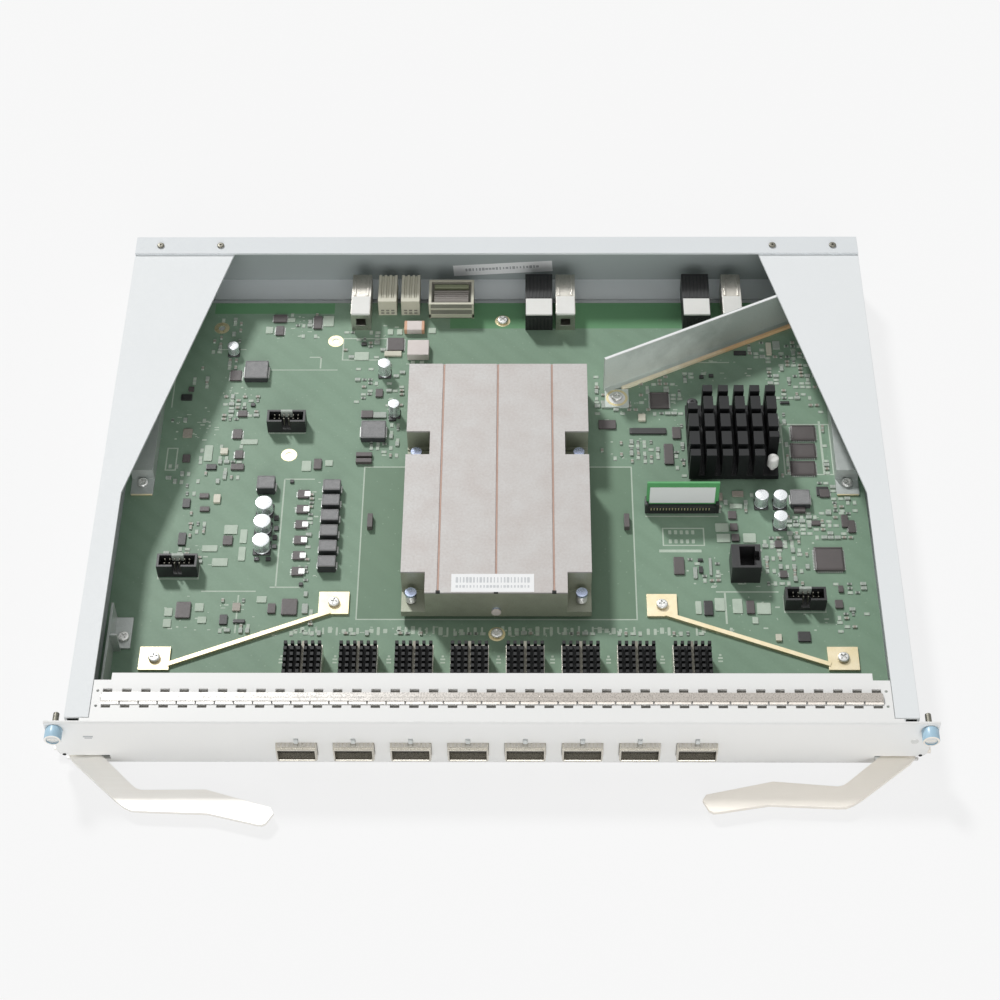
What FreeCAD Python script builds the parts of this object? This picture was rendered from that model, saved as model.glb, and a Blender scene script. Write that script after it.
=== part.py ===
"""Switch line card in the protective box it is shipped in.

The card is a main board on a sheet tray behind a folded front panel with two ejector levers and
two captive screws.  Frame: the origin is the centre of the underside, +X runs along the front
panel to the right, +Y to the rear and +Z up.  Lengths are in millimetres.
"""

import FreeCAD, Part
import math
import os
import re

import Sketcher

# Driving sizes, by sheet cell name.
SIZES = {
    # whole card and its sheets
    "chassis_width": 408, "chassis_length": 328, "panel_height": 34,
    "box_sheet": 1.2, "panel_sheet": 1.5, "tray_sheet": 1.0,
    "fit_gap": 0.3, "run_gap": 0.05, "overcut": 1,
    # front panel
    "flange_width": 384, "flange_reach": 29.1, "flange_step": 4.1, "flange_tongue": 367.5,
    "flange_root_width": 393, "flange_root": 3.1, "sill_reach": 14, "fold_radius": 1.2,
    "slot_pitch": 9.24, "slot_length": 4.5, "slot_width": 2.2,
    "slot_front": 10, "slot_rear": 18.7, "flange_hole_x": 189.5, "flange_hole_radius": 0.7,
    "ear_reach": 9.5, "ear_toe": 2.5, "ear_toe_height": 1.5, "ear_knee": 6.5,
    "ear_knee_height": 9, "ear_shoulder": 7.6, "ear_shoulder_height": 20, "ear_top_height": 28,
    # gasket strip on the top flange
    "gasket_front": 11.1, "gasket_depth": 6.4, "gasket_rise": 1.8, "gasket_thickness": 0.35,
    "gasket_gap": 0.8, "gasket_spine": 0.9, "gasket_length": 375,
    # captive screws
    "screw_offset": 5, "screw_height": 28.8, "sleeve_radius": 4.2, "sleeve_length": 6.5,
    "sleeve_slot": 1.0, "neck_radius": 1.2, "shank_radius": 1.5, "shank_reach": 9, "ring_radius": 2.5,
    "ring_thickness": 0.8,
    # ejector levers
    "pivot_inset": 4.5, "pivot_reach": 7, "pivot_radius": 2.5, "pivot_head_radius": 4.5,
    "pivot_head_height": 1.15, "lever_thickness": 2.0, "lever_root_radius": 7,
    "lever_rise": 3, "lever_slot_run": 14, "lever_slot_under": 0.3, "lever_slot_over": 0.9,
    "lever_claw_reach": 13.8, "lever_claw_width": 5.5, "lever_claw_front": 3.5, "left_lever_rest": 4.5,
    # ports
    "port_pitch": 27.6, "port_offset": 2.5, "port_gap": 0.5, "cage_width": 19,
    "cage_height": 9.7, "cage_length": 62, "cage_overhang": 4, "cage_wall": 0.5,
    "collar_inset": 0.8, "collar_length": 8, "collar_thickness": 0.35,
    "cage_window_width": 13.5, "cage_window_length": 20, "cage_window_front": 36,
    "connector_width": 17, "connector_height": 7, "connector_length": 11,
    "connector_rear": 6, "connector_slot": 2.4, "connector_mouth": 14,
    "lamp_width": 2.2, "lamp_height": 3.0, "lamp_rise": 1.0, "pipe_gap": 0.1,
    "pipe_length": 18, "pipe_proud": 1.0, "pipe_bar": 2.0,
    # cage heat sinks and clips
    "sink_width": 18.5, "sink_length": 29.5, "sink_front": 27, "sink_base": 1.8,
    "sink_height": 4.2, "sink_pedestal": 0.3, "sink_lane_pitch": 3.35, "sink_lane": 1.75,
    "sink_row_pitch": 3.45, "sink_row": 1.55, "clip_width": 1.4, "clip_thickness": 0.5,
    "clip_overlap": 1.2, "clip_leg": 8,
    # card tray and board
    "tray_width": 381, "board_width": 393, "board_front": 3.5, "board_length": 300,
    "board_thickness": 2.4, "board_notch_width": 13.5, "board_notch_length": 19.5,
    "standoff_height": 2.0, "standoff_radius": 3, "screw_radius": 1.5,
    "head_radius": 3, "head_height": 1.8, "gold_hole_radius": 1.8,
    # side rails, corner bracket, stiffeners, baffle
    "rail_sheet": 1.2, "rail_width": 12, "rail_height": 8.5, "rail_length": 129,
    "rail_foot": 11.5, "rail_setback": 4.5, "corner_tab_width": 9.5, "corner_tab_length": 19,
    "corner_tab_side": 5.6, "corner_tab_rear": 12.5, "corner_web_length": 54,
    "corner_web_height": 14, "tab_width": 15.4, "tab_length": 14, "bar_width": 2.4,
    "bar_height": 1.6, "bar_start_x": 7, "bar_start_y": 5, "bar_end_x": 1.2, "bar_end_y": 6.7,
    "baffle_sheet": 1.0, "baffle_height": 25.6, "baffle_run": 128.5,
    "baffle_angle": 26.2, "baffle_foot": 2.6, "baffle_start_x": 6.9, "baffle_start_y": 6.6,
    "baffle_tab": 13,
    # main heat sink
    "cover_width": 96.4, "cover_length": 154.8, "cover_front": 80.5, "cover_x": 1.7,
    "cover_sheet": 1.0, "spreader_thickness": 4.0, "fin_height": 15.1, "fin_pitch": 2.5,
    "fin_thickness": 0.5, "fin_foot": 0.8, "corner_cut_width": 12.3, "corner_cut_length": 13,
    "side_cut_width": 12.5, "side_cut_length": 16, "side_cut_start": 90.5,
    "groove_pitch": 29.15, "groove_width": 1.2, "groove_depth": 0.4,
    "spring_screw_x": 43.2, "spring_screw_front": 7, "spring_screw_run": 93,
    "spring_screw_height": 14.2, "spring_radius": 3.2, "spring_wall": 0.7,
    "spring_head_radius": 2.9, "spring_head_height": 1.6, "front_screw_height": 8.4,
    "front_screw_radius": 1.0, "front_screw_head": 2.2, "front_screw_head_height": 1.2,
    "switch_chip_size": 55, "switch_chip_height": 3.0, "switch_chip_reach": 133.3,
    # processor and its heat sink
    "cpu_x": 127.3, "cpu_reach": 196.7, "cpu_chip_size": 31, "cpu_chip_height": 1.6,
    "cpu_sink_width": 47.5, "cpu_sink_length": 49.8, "cpu_sink_base": 3.0,
    "cpu_sink_height": 19.5, "cpu_lane_pitch": 8.45, "cpu_lane": 3.25, "cpu_row_pitch": 12.45,
    "cpu_row": 3.4, "cpu_corner_width": 7, "cpu_corner_length": 13,
    "push_pin_inset_x": 3.2, "push_pin_inset_y": 5.2, "push_pin_radius": 1.4,
    "push_pin_head": 2.6, "push_pin_height": 13.4, "push_pin_head_height": 1.6,
    # memory, jack, headers
    "memory_x": 98.8, "memory_reach": 152.6, "socket_width": 35.3, "socket_length": 6,
    "socket_height": 5.2, "module_width": 37.8, "module_thickness": 1.2, "module_height": 22.2,
    "module_depth": 3.7, "jack_x": 129.4, "jack_reach": 111.5, "jack_width": 15,
    "jack_length": 15, "jack_height": 13.1, "jack_wall": 1.4, "jack_depth": 10.5,
    "header_width": 20.8, "header_length": 8.5, "header_height": 8.9, "header_wall": 1.2,
    "header_depth": 6.4, "header_key": 4.5,
    # rear connectors
    "guide_width": 10.8, "guide_length": 30.8, "guide_height": 13.3, "guide_front": 282.2,
    "guide_bore": 5.4, "power_width": 10.4, "power_length": 20.9, "power_height": 11.1,
    "power_front": 293.9, "power_slot": 1.4, "power_slot_pitch": 2.9,
    "signal_width": 15.3, "signal_length": 31.8,
    "signal_height": 12.7, "signal_front": 282.2, "backplane_x": -25.3,
    "backplane_width": 25.4, "backplane_length": 19.3, "backplane_height": 11.1,
    "backplane_front": 291.5, "backplane_rim": 1.8, "backplane_recess": 2.5,
    # protective box
    "floor_front": 14.5, "strip_width": 11.7, "strip_front": 3.5, "strip_bend": 142,
    "tab_inner": 147.8, "tab_front": 315.7, "box_flange": 12, "relief_length": 26,
    "relief_height": 8, "bar_top_depth": 13, "bar_foot_depth": 17, "rivet_outer": 190,
    "rivet_inner": 156, "rivet_inset": 7, "rivet_radius": 1.6, "rivet_head_radius": 2.5,
    "rivet_head_height": 1.0,
}

PORTS = 8
SLOTS = 41
GASKET_GAPS = 40
SINK_LANES = 5
SINK_ROWS = 8
CPU_LANES = 5
CPU_ROWS = 4
FIN_CHANNELS = 61
COVER_GROOVES = 3

# Places on the card: across from the centre line, then back from the panel's face.
SPOTS = {
    "rail_screw_left": (-187.4, 169), "rail_screw_right": (187.4, 169),
    "corner_screw": (-186.4, 68.4),
    "left_outer_screw": (-169.5, 55.8), "left_inner_screw": (-81.3, 90.3),
    "right_outer_screw": (175.3, 56.1), "right_inner_screw": (86, 89),
    "baffle_screw": (66.7, 230), "front_screw": (2, 71.5), "rear_screw": (3.7, 289.2),
    "gold_hole_rear": (-90.1, 273.7), "gold_hole_middle": (-110.9, 189.9),
    "gold_hole_corner": (-155.1, 283.8), "gold_hole_front": (156.9, 69.7),
    "header_middle": (-113.1, 210.3), "header_left": (-162.8, 111.8),
    "header_right": (158.6, 90.7),
}
TAB_SCREWS = ["rail_screw_left", "rail_screw_right", "corner_screw", "left_outer_screw",
              "left_inner_screw", "right_outer_screw", "right_inner_screw", "baffle_screw"]
BARE_SCREWS = ["front_screw", "rear_screw"]
GOLD_HOLES = ["gold_hole_rear", "gold_hole_middle", "gold_hole_corner", "gold_hole_front"]
HEADERS = ["header_middle", "header_left", "header_right"]

# Rear connectors: places across, from the centre line.
REAR_ROW = {
    "guide_left": -76, "guide_middle": 39.1, "guide_right": 132.7,
    "power_outer": -61.5, "power_inner": -48.5, "signal_left": 24.2, "signal_right": 112.7,
}

# Board parts: across, back from the panel's face, then width, length and height.
INDUCTORS = {
    "coil_bank_a": (-86.1, 164.9, 9.4, 7.2, 5.8), "coil_bank_b": (-86.1, 154.7, 9.4, 7.2, 5.8),
    "coil_bank_c": (-86.1, 144.5, 9.4, 7.2, 5.8), "coil_bank_d": (-86.1, 134.3, 9.4, 7.2, 5.8),
    "coil_bank_e": (-86.1, 124.1, 9.4, 7.2, 5.8), "coil_bank_f": (-86.1, 113.9, 9.4, 7.2, 5.8),
    "coil_left": (-121.2, 166.5, 9.5, 8.6, 6), "coil_rear": (-132.6, 248.8, 12.9, 12.9, 4.2),
    "coil_middle": (-65.9, 205, 13.4, 12.4, 4.2), "coil_right": (161.5, 157.8, 10.3, 10, 4.2),
}
CAPACITORS = {
    "can_left_a": (-121, 150.9, 9.4, 8), "can_left_b": (-121, 138.6, 9.4, 8),
    "can_left_c": (-120.7, 126.1, 9.4, 8), "can_right_a": (140.8, 155.5, 7.5, 8.8),
    "can_right_b": (150.6, 155.5, 7.5, 8.8), "can_right_c": (149.7, 141.5, 7.5, 8.8),
    "can_rear": (-61.5, 248.7, 7.2, 9.5), "can_middle": (-55, 218.8, 6.6, 9.5),
    "can_far": (-146.6, 264.6, 6.6, 6.5),
}
CHIPS = {
    "quad_chip": (173.5, 118.7, 15, 15, 1.5), "memory_chip_a": (166.9, 205, 13.3, 10.5, 1.2),
    "memory_chip_b": (166, 192.4, 13.3, 10, 1.2), "memory_chip_c": (165, 180.1, 13.3, 9.6, 1.2),
    "square_chip": (90, 228.5, 10.3, 11.5, 1.2), "rear_chip": (-56.2, 270.6, 9, 9.4, 1.2),
    "beige_block": (-46, 282.7, 11.4, 7.2, 3.6), "cream_block": (-43.3, 264.8, 12, 11.5, 4.6),
    "resistor_a": (-70.3, 188.9, 8.6, 2.8, 2.1), "resistor_b": (-70.3, 184.7, 8.6, 2.8, 2.1),
    "crystal_left": (-65.1, 142.8, 2.8, 9, 3.1), "crystal_right": (69.6, 142.8, 2.8, 9, 3.1),
    "power_chip_a": (-101.3, 162.2, 6, 5.4, 1.1), "power_chip_b": (-101.3, 151.9, 6, 5.4, 1.1),
    "power_chip_c": (-101.3, 141.6, 6, 5.4, 1.1), "power_chip_d": (-101.3, 131.3, 6, 5.4, 1.1),
    "power_chip_e": (-101.3, 121, 6, 5.4, 1.1), "power_chip_f": (-101.3, 110.7, 6, 5.4, 1.1),
    "driver_chip_a": (-144.1, 247, 6.1, 7.5, 1.1), "driver_chip_b": (-122.4, 290.6, 7.4, 5.6, 1.1),
    "driver_chip_c": (-122, 281.2, 4.5, 7, 1.1), "driver_chip_d": (-100.9, 287.5, 4.5, 9.6, 1.1),
    "driver_chip_e": (-138.2, 219, 5, 4.3, 1.1), "driver_chip_f": (-139.8, 204.2, 4.9, 6.5, 1.1),
    "driver_chip_g": (-137.8, 189.7, 4.3, 5.6, 1.1), "tall_chip": (160.8, 151, 6, 3.2, 2.1),
    "clock_chip_a": (168.8, 142.8, 4.5, 3, 1.1), "clock_chip_b": (175, 162.8, 5.2, 5.2, 1.1),
    "edge_chip": (187.2, 140.4, 3.7, 8, 1.1), "clock_chip_c": (148.2, 128.7, 3.8, 4.6, 1.1),
    "clock_chip_d": (149.4, 109.1, 3.8, 4.5, 1.1),
}

# The lever's outline from its pivot, lever shut, right-hand side: across, then back.
LEVER_OUTLINE = [
    (-2.4, 0.6), (-12.7, -7.9), (-28, -21.2), (-30.4, -22.9), (-33.2, -23.6), (-64, -20.9),
    (-96.5, -28.3), (-98.4, -31.3), (-95.6, -36.9), (-93.6, -38.1), (-90.7, -37.9),
    (-67, -33.8), (-34, -35.2), (-30, -35.1), (-26.4, -33.6), (-21.8, -30.5), (3.3, -10.2),
    (6.0, -6.6), (6.2, -1.5),
]

# Expressions that several pieces share.
FACE = "(-chassis_length / 2)"
PANEL_BACK = f"({FACE} + panel_sheet)"
REAR = "(chassis_length / 2)"
SIDE = "(chassis_width / 2)"
TRAY_TOP = "(panel_sheet + tray_sheet)"
BOARD_UNDER = f"({TRAY_TOP} + standoff_height)"
BOARD_TOP = f"({BOARD_UNDER} + board_thickness)"
BOARD_FRONT = f"({FACE} + board_front)"
BOARD_REAR = f"({BOARD_FRONT} + board_length)"
TAB_TOP = f"({BOARD_TOP} + rail_sheet)"
CAGE_FRONT = f"({FACE} - cage_overhang)"
CAGE_REAR = f"({CAGE_FRONT} + cage_length)"
CAGE_TOP = f"({BOARD_TOP} + cage_height)"
LAMP_BASE = f"({CAGE_TOP} + lamp_rise)"
SINK_FRONT = f"({FACE} + sink_front)"
SINK_TOP = f"({CAGE_TOP} + sink_base)"
PIVOT_X = f"({SIDE} - pivot_inset)"
PIVOT_Y = f"({FACE} + pivot_reach)"
SCREW_X = f"({SIDE} + screw_offset)"
COVER_FRONT = f"({FACE} + cover_front)"
COVER_REAR = f"({COVER_FRONT} + cover_length)"
SPREADER_UNDER = f"({BOARD_TOP} + switch_chip_height)"
SPREADER_TOP = f"({SPREADER_UNDER} + spreader_thickness)"
FIN_TOP = f"({SPREADER_TOP} + fin_height)"
CPU_Y = f"({FACE} + cpu_reach)"
CPU_SINK_UNDER = f"({BOARD_TOP} + cpu_chip_height)"
CPU_SINK_FLOOR = f"({CPU_SINK_UNDER} + cpu_sink_base)"
FLOOR_TOP = "box_sheet"
BOX_TOP = "panel_height"
STRIP_INNER = f"({SIDE} - strip_width)"

doc = FreeCAD.newDocument("line_card")
sheet = doc.addObject("Spreadsheet::Sheet", "Sizes")
nodes = []


def fill_sheet():
    """Writes every driving size, and every place on the card, into a named cell."""
    cells = dict(SIZES)
    for name, (across, back) in SPOTS.items():
        cells[f"{name}_x"] = across
        cells[f"{name}_back"] = back
    for name, across in REAR_ROW.items():
        cells[f"{name}_x"] = across
    for table in (INDUCTORS, CHIPS, CAPACITORS):
        for name, row in table.items():
            footprint = ["wide", "long"] if len(row) == 5 else ["round"]
            labels = ["x", "back"] + footprint + ["tall"]
            for label, value in zip(labels, row):
                cells[f"{name}_{label}"] = value
    for number, (name, value) in enumerate(cells.items(), start=1):
        sheet.set(f"A{number}", name)
        sheet.set(f"B{number}", str(value))
        sheet.setAlias(f"B{number}", name)
    doc.recompute()
    return frozenset(cells)


CELLS = fill_sheet()


def named(text):
    """Puts the sheet's name before every cell name of an expression."""
    return re.sub(r"[a-z]\w*", lambda word: f"Sizes.{word[0]}" if word[0] in CELLS else word[0], str(text))


def bind(item, prop, text):
    """Ties one property of an object to an expression of cell names."""
    item.setExpression(prop, named(text))


def value(text):
    """The present value of a cell."""
    return float(sheet.get(text))


def span(centre, width):
    """The two ends of a width about a centre."""
    return f"{centre} - ({width}) / 2", f"{centre} + ({width}) / 2"


def block(across, along, up):
    """A box between two ends in X, in Y and in Z."""
    item = doc.addObject("Part::Box", "Block")
    for prop, axis, (low, high) in zip(("Length", "Width", "Height"), "xyz", (across, along, up)):
        bind(item, prop, f"({high}) - ({low})")
        bind(item, f"Placement.Base.{axis}", low)
    return item


def post(across, along, radius, up):
    """An upright cylinder between two heights."""
    item = doc.addObject("Part::Cylinder", "Post")
    bind(item, "Radius", radius)
    bind(item, "Height", f"({up[1]}) - ({up[0]})")
    bind(item, "Placement.Base.x", across)
    bind(item, "Placement.Base.y", along)
    bind(item, "Placement.Base.z", up[0])
    return item


def pin(across, up, radius, along):
    """A cylinder along Y between two ends."""
    item = doc.addObject("Part::Cylinder", "Pin")
    item.Placement.Rotation = FreeCAD.Rotation(FreeCAD.Vector(1, 0, 0), -90)
    bind(item, "Radius", radius)
    bind(item, "Height", f"({along[1]}) - ({along[0]})")
    bind(item, "Placement.Base.x", across)
    bind(item, "Placement.Base.y", along[0])
    bind(item, "Placement.Base.z", up)
    return item


def beam(start, end, width, up):
    """A straight bar of a rectangular section between two points of the plan."""
    run_x, run_y = (f"(({b}) - ({a}))" for a, b in zip(start, end))
    item = doc.addObject("Part::Box", "Beam")
    bind(item, "Length", f"sqrt({run_x} * {run_x} + {run_y} * {run_y})")
    bind(item, "Width", width)
    bind(item, "Height", f"({up[1]}) - ({up[0]})")
    bind(item, "Placement.Base.x", start[0])
    bind(item, "Placement.Base.y", start[1])
    bind(item, "Placement.Base.z", up[0])
    item.Placement.Rotation = FreeCAD.Rotation(FreeCAD.Vector(0, 0, 1), 0)
    bind(item, "Placement.Rotation.Angle", f"atan2({run_y}; {run_x})")
    return item


def group(pieces):
    """Several separate solids as one object."""
    item = doc.addObject("Part::Compound", "Group")
    item.Links = pieces
    return item


def join(pieces):
    """Several overlapping or touching shapes as one solid."""
    item = doc.addObject("Part::MultiFuse", "Join")
    item.Shapes = pieces
    item.Refine = True
    return item


def cut(base, tools):
    """A shape less some tools that don't overlap each other."""
    item = doc.addObject("Part::Cut", "Cut")
    item.Base = base
    item.Tool = group(tools) if len(tools) > 1 else tools[0]
    return item


def plate(points, low, thickness, plane="XY_Plane"):
    """A body with one straight-sided outline, padded up from a height (or back from the face)."""
    body = doc.addObject("PartDesign::Body", "Plate")
    sketch = body.newObject("Sketcher::SketchObject", "Outline")
    base = [plane_item for plane_item in body.Origin.OriginFeatures if plane_item.Role == plane][0]
    sketch.AttachmentSupport = (base, [""])
    sketch.MapMode = "FlatFace"
    bind(sketch, "AttachmentOffset.Base.z", low)
    count = len(points)
    corners = [FreeCAD.Vector(math.cos(turn), math.sin(turn), 0)
               for turn in (2 * math.pi * number / count for number in range(count))]
    for number in range(count):
        sketch.addGeometry(Part.LineSegment(corners[number], corners[(number + 1) % count]))
    for number in range(count):
        sketch.addConstraint(Sketcher.Constraint("Coincident", number, 2, (number + 1) % count, 1))
    for number, (across, along) in enumerate(points):
        for kind, text in (("DistanceX", across), ("DistanceY", along)):
            datum = sketch.addConstraint(Sketcher.Constraint(kind, -1, 1, number, 1, 1.0))
            bind(sketch, f"Constraints[{datum}]", text)
    pad = body.newObject("PartDesign::Pad", "Pad")
    pad.Profile = sketch
    bind(pad, "Length", thickness)
    return body


def finish(item, name):
    """Labels an object as one of the card's sub-parts."""
    item.Label = name
    nodes.append(item)
    return item


def spot(name):
    """The place of a named point on the card."""
    return f"{name}_x", f"({FACE} + {name}_back)"


def port_x(number):
    """The centre of one port."""
    return f"(port_offset + port_pitch * {number - (PORTS - 1) / 2})"


def mirrored(points):
    """An outline of the right half, joined to its mirror image on the left."""
    return points + [(f"-({across})", along) for across, along in reversed(points)]


# ---------------------------------------------------------------- front panel

def lever_slot(side):
    """The slot under one ear that a lever swings in, open at the ear's outer edge."""
    inner = f"{side} * ({PIVOT_X} - lever_slot_run)"
    outer = f"{side} * ({SIDE} + ear_reach)"
    ends = (inner, outer) if side > 0 else (outer, inner)
    return block(ends, (f"{FACE} - overcut", f"{PANEL_BACK} + overcut"),
                 ("lever_rise - lever_slot_under", "lever_rise + lever_thickness + lever_slot_over"))


def front_panel():
    """A folded sheet: face with ears, slotted top flange and a sill along the bottom."""
    ear = [(SIDE, "0"), (SIDE, "ear_toe_height"), (f"{SIDE} + ear_toe", "ear_toe_height"),
           (f"{SIDE} + ear_knee", "ear_knee_height"),
           (f"{SIDE} + ear_shoulder", "ear_shoulder_height"),
           (f"{SIDE} + ear_reach", "ear_top_height"), (f"{SIDE} + ear_reach", "panel_height")]
    face = plate(mirrored(ear), f"-{PANEL_BACK}", "panel_sheet", "XZ_Plane")
    lip = [("flange_root_width / 2", FACE), ("flange_root_width / 2", f"{FACE} + flange_root"),
           ("flange_width / 2", f"{FACE} + flange_root"),
           ("flange_width / 2", f"{FACE} + flange_reach - flange_step"),
           ("flange_tongue / 2", f"{FACE} + flange_reach - flange_step"),
           ("flange_tongue / 2", f"{FACE} + flange_reach")]
    flange = plate(mirrored(lip), "panel_height - panel_sheet", "panel_sheet")
    sill = block((f"-{SIDE}", SIDE), (FACE, f"{FACE} + sill_reach"), ("0", "panel_sheet"))
    sheet_metal = join([face, flange, sill])
    doc.recompute()
    fold = doc.addObject("Part::Fillet", "Fold")
    fold.Base = sheet_metal
    height, front = value("panel_height"), -value("chassis_length") / 2
    radius = min(value("fold_radius"), 0.9 * value("panel_sheet"))
    fold.Edges = [(number, radius, radius) for number, edge in enumerate(sheet_metal.Shape.Edges, start=1)
                  if edge.BoundBox.XLength > value("flange_width") / 2 and edge.BoundBox.ZLength < 0.01
                  and abs(edge.CenterOfMass.z - height) < 0.01 and abs(edge.CenterOfMass.y - front) < 0.01]
    through = (f"{FACE} - overcut", f"{PANEL_BACK} + overcut")
    above = ("panel_height - panel_sheet - overcut", "panel_height + overcut")
    tools = []
    for number in range(SLOTS):
        across = span(f"(slot_pitch * {number - (SLOTS - 1) / 2})", "slot_length")
        for row in ("slot_front", "slot_rear"):
            tools.append(block(across, span(f"({FACE} + {row})", "slot_width"), above))
    for number in range(PORTS):
        tools.append(block(span(port_x(number), "cage_width + 2 * port_gap"), through,
                           (f"{BOARD_TOP} - port_gap", f"{CAGE_TOP} + port_gap")))
        tools.append(block(span(port_x(number), "lamp_width"), through,
                           (LAMP_BASE, f"{LAMP_BASE} + lamp_height")))
    for side in (-1, 1):
        tools.append(lever_slot(side))
        tools.append(pin(f"{side} * {SCREW_X}", "screw_height", "shank_radius + run_gap", through))
        for row in ("slot_front", "slot_rear"):
            tools.append(post(f"{side} * flange_hole_x", f"{FACE} + {row}", "flange_hole_radius", above))
    finish(cut(fold, tools), "front_panel")


def gasket_strip():
    """A springy arched strip with cross gaps, one ridge along its rear edge left whole."""
    arch_radius = "((gasket_depth * gasket_depth / 4 + gasket_rise * gasket_rise) / (2 * gasket_rise))"
    middle = f"({FACE} + gasket_front + gasket_depth / 2)"
    shell = []
    for inset, length in (("0", "gasket_length"), ("gasket_thickness", "gasket_length + overcut")):
        tube = doc.addObject("Part::Cylinder", "Arch")
        tube.Placement.Rotation = FreeCAD.Rotation(FreeCAD.Vector(0, 1, 0), 90)
        bind(tube, "Radius", f"{arch_radius} - {inset}")
        bind(tube, "Height", length)
        bind(tube, "Placement.Base.x", f"-({length}) / 2")
        bind(tube, "Placement.Base.y", middle)
        bind(tube, "Placement.Base.z", f"panel_height + gasket_rise - {arch_radius}")
        shell.append(tube)
    above = ("panel_height", "panel_height + gasket_rise + overcut")
    arch = doc.addObject("Part::Common", "Arch")
    arch.Base = cut(shell[0], [shell[1]])
    arch.Tool = block(span("0", "gasket_length"), span(middle, "gasket_depth + overcut"), above)
    gaps = [block(span(f"(gasket_length * {(number + 1) / (GASKET_GAPS + 1) - 0.5})", "gasket_gap"),
                  (f"{middle} - gasket_depth", f"{middle} + gasket_depth / 2 - gasket_spine"), above)
            for number in range(GASKET_GAPS)]
    finish(cut(arch, gaps), "gasket_strip")


def light_pipes():
    """Eight clear rods behind the lamp windows, moulded in one piece with a cross bar."""
    front = f"({FACE} - pipe_proud)"
    rear = f"({front} + pipe_length)"
    up = (f"{LAMP_BASE} + pipe_gap", f"{LAMP_BASE} + lamp_height - pipe_gap")
    rods = [block(span(port_x(number), "lamp_width - 2 * pipe_gap"), (front, rear), up)
            for number in range(PORTS)]
    bar = block((f"{port_x(0)} - lamp_width", f"{port_x(PORTS - 1)} + lamp_width"),
                (f"{rear} - pipe_bar", rear), up)
    finish(join(rods + [bar]), "light_pipes")


# ---------------------------------------------------------------- levers and captive screws

def lever(side, name, rest):
    """A flat ejector lever: a pierced root with a claw, and a cranked arm."""
    low, high = "lever_rise", "lever_rise + lever_thickness"
    arm = plate([(f"{side * across}", f"{along}") for across, along in LEVER_OUTLINE],
                low, "lever_thickness")
    root = post("0", "0", "lever_root_radius", (low, high))
    reach = ("0", "lever_claw_reach") if side > 0 else ("-lever_claw_reach", "0")
    claw = block(reach, ("-lever_claw_front", "lever_claw_width - lever_claw_front"), (low, high))
    bore = post("0", "0", "pivot_radius + run_gap", (f"{low} - overcut", f"{high} + overcut"))
    item = finish(cut(join([arm, root, claw]), [bore]), name)
    bind(item, "Placement.Base.x", f"{side} * {PIVOT_X}")
    bind(item, "Placement.Base.y", PIVOT_Y)
    item.Placement.Rotation = FreeCAD.Rotation(FreeCAD.Vector(0, 0, 1), 0)
    bind(item, "Placement.Rotation.Angle", f"{side} * {rest}")


def lever_pins():
    """Two shouldered pins that stand on the panel's sill and carry the levers."""
    pins = []
    for side in (-1, 1):
        place = (f"{side} * {PIVOT_X}", PIVOT_Y)
        under, over = "lever_rise - run_gap", "lever_rise + lever_thickness + run_gap"
        pins.append(join([post(*place, "pivot_head_radius", ("panel_sheet", under)),
                          post(*place, "pivot_radius", ("panel_sheet", over)),
                          post(*place, "pivot_head_radius", (over, f"{over} + pivot_head_height"))]))
    finish(group(pins), "lever_pins")


def thumbscrew(side, name):
    """A captive screw in an ear: slotted sleeve, thin neck, retaining ring and threaded shank."""
    place = (f"{side} * {SCREW_X}", "screw_height")
    front = f"({FACE} - run_gap - sleeve_length)"
    sleeve = pin(*place, "sleeve_radius", (front, f"{FACE} - run_gap"))
    ring_front = f"({PANEL_BACK} + run_gap)"
    ring_rear = f"({ring_front} + ring_thickness)"
    neck = pin(*place, "neck_radius", (front, ring_rear))
    ring = pin(*place, "ring_radius", (ring_front, ring_rear))
    shank = pin(*place, "shank_radius", (ring_rear, f"{FACE} + shank_reach"))
    slot = block(span(place[0], "2 * sleeve_radius + 2 * overcut"),
                 (f"{front} - overcut", f"{front} + sleeve_slot"), span(place[1], "sleeve_slot"))
    finish(cut(join([sleeve, neck, ring, shank]), [slot]), name)


# ---------------------------------------------------------------- tray, board and screws

def spring_screw_places():
    """Centres of the four sprung screws of the main heat sink."""
    return [(f"(cover_x + {side} * spring_screw_x)",
             f"({COVER_FRONT} + spring_screw_front + {row} * spring_screw_run)")
            for side in (-1, 1) for row in (0, 1)]


def push_pin_places():
    """Centres of the two push pins, on opposite corners of the processor's heat sink."""
    return [(f"(cpu_x + {side} * (cpu_sink_width / 2 - push_pin_inset_x))",
             f"({CPU_Y} - {side} * (cpu_sink_length / 2 - push_pin_inset_y))") for side in (-1, 1)]


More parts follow.
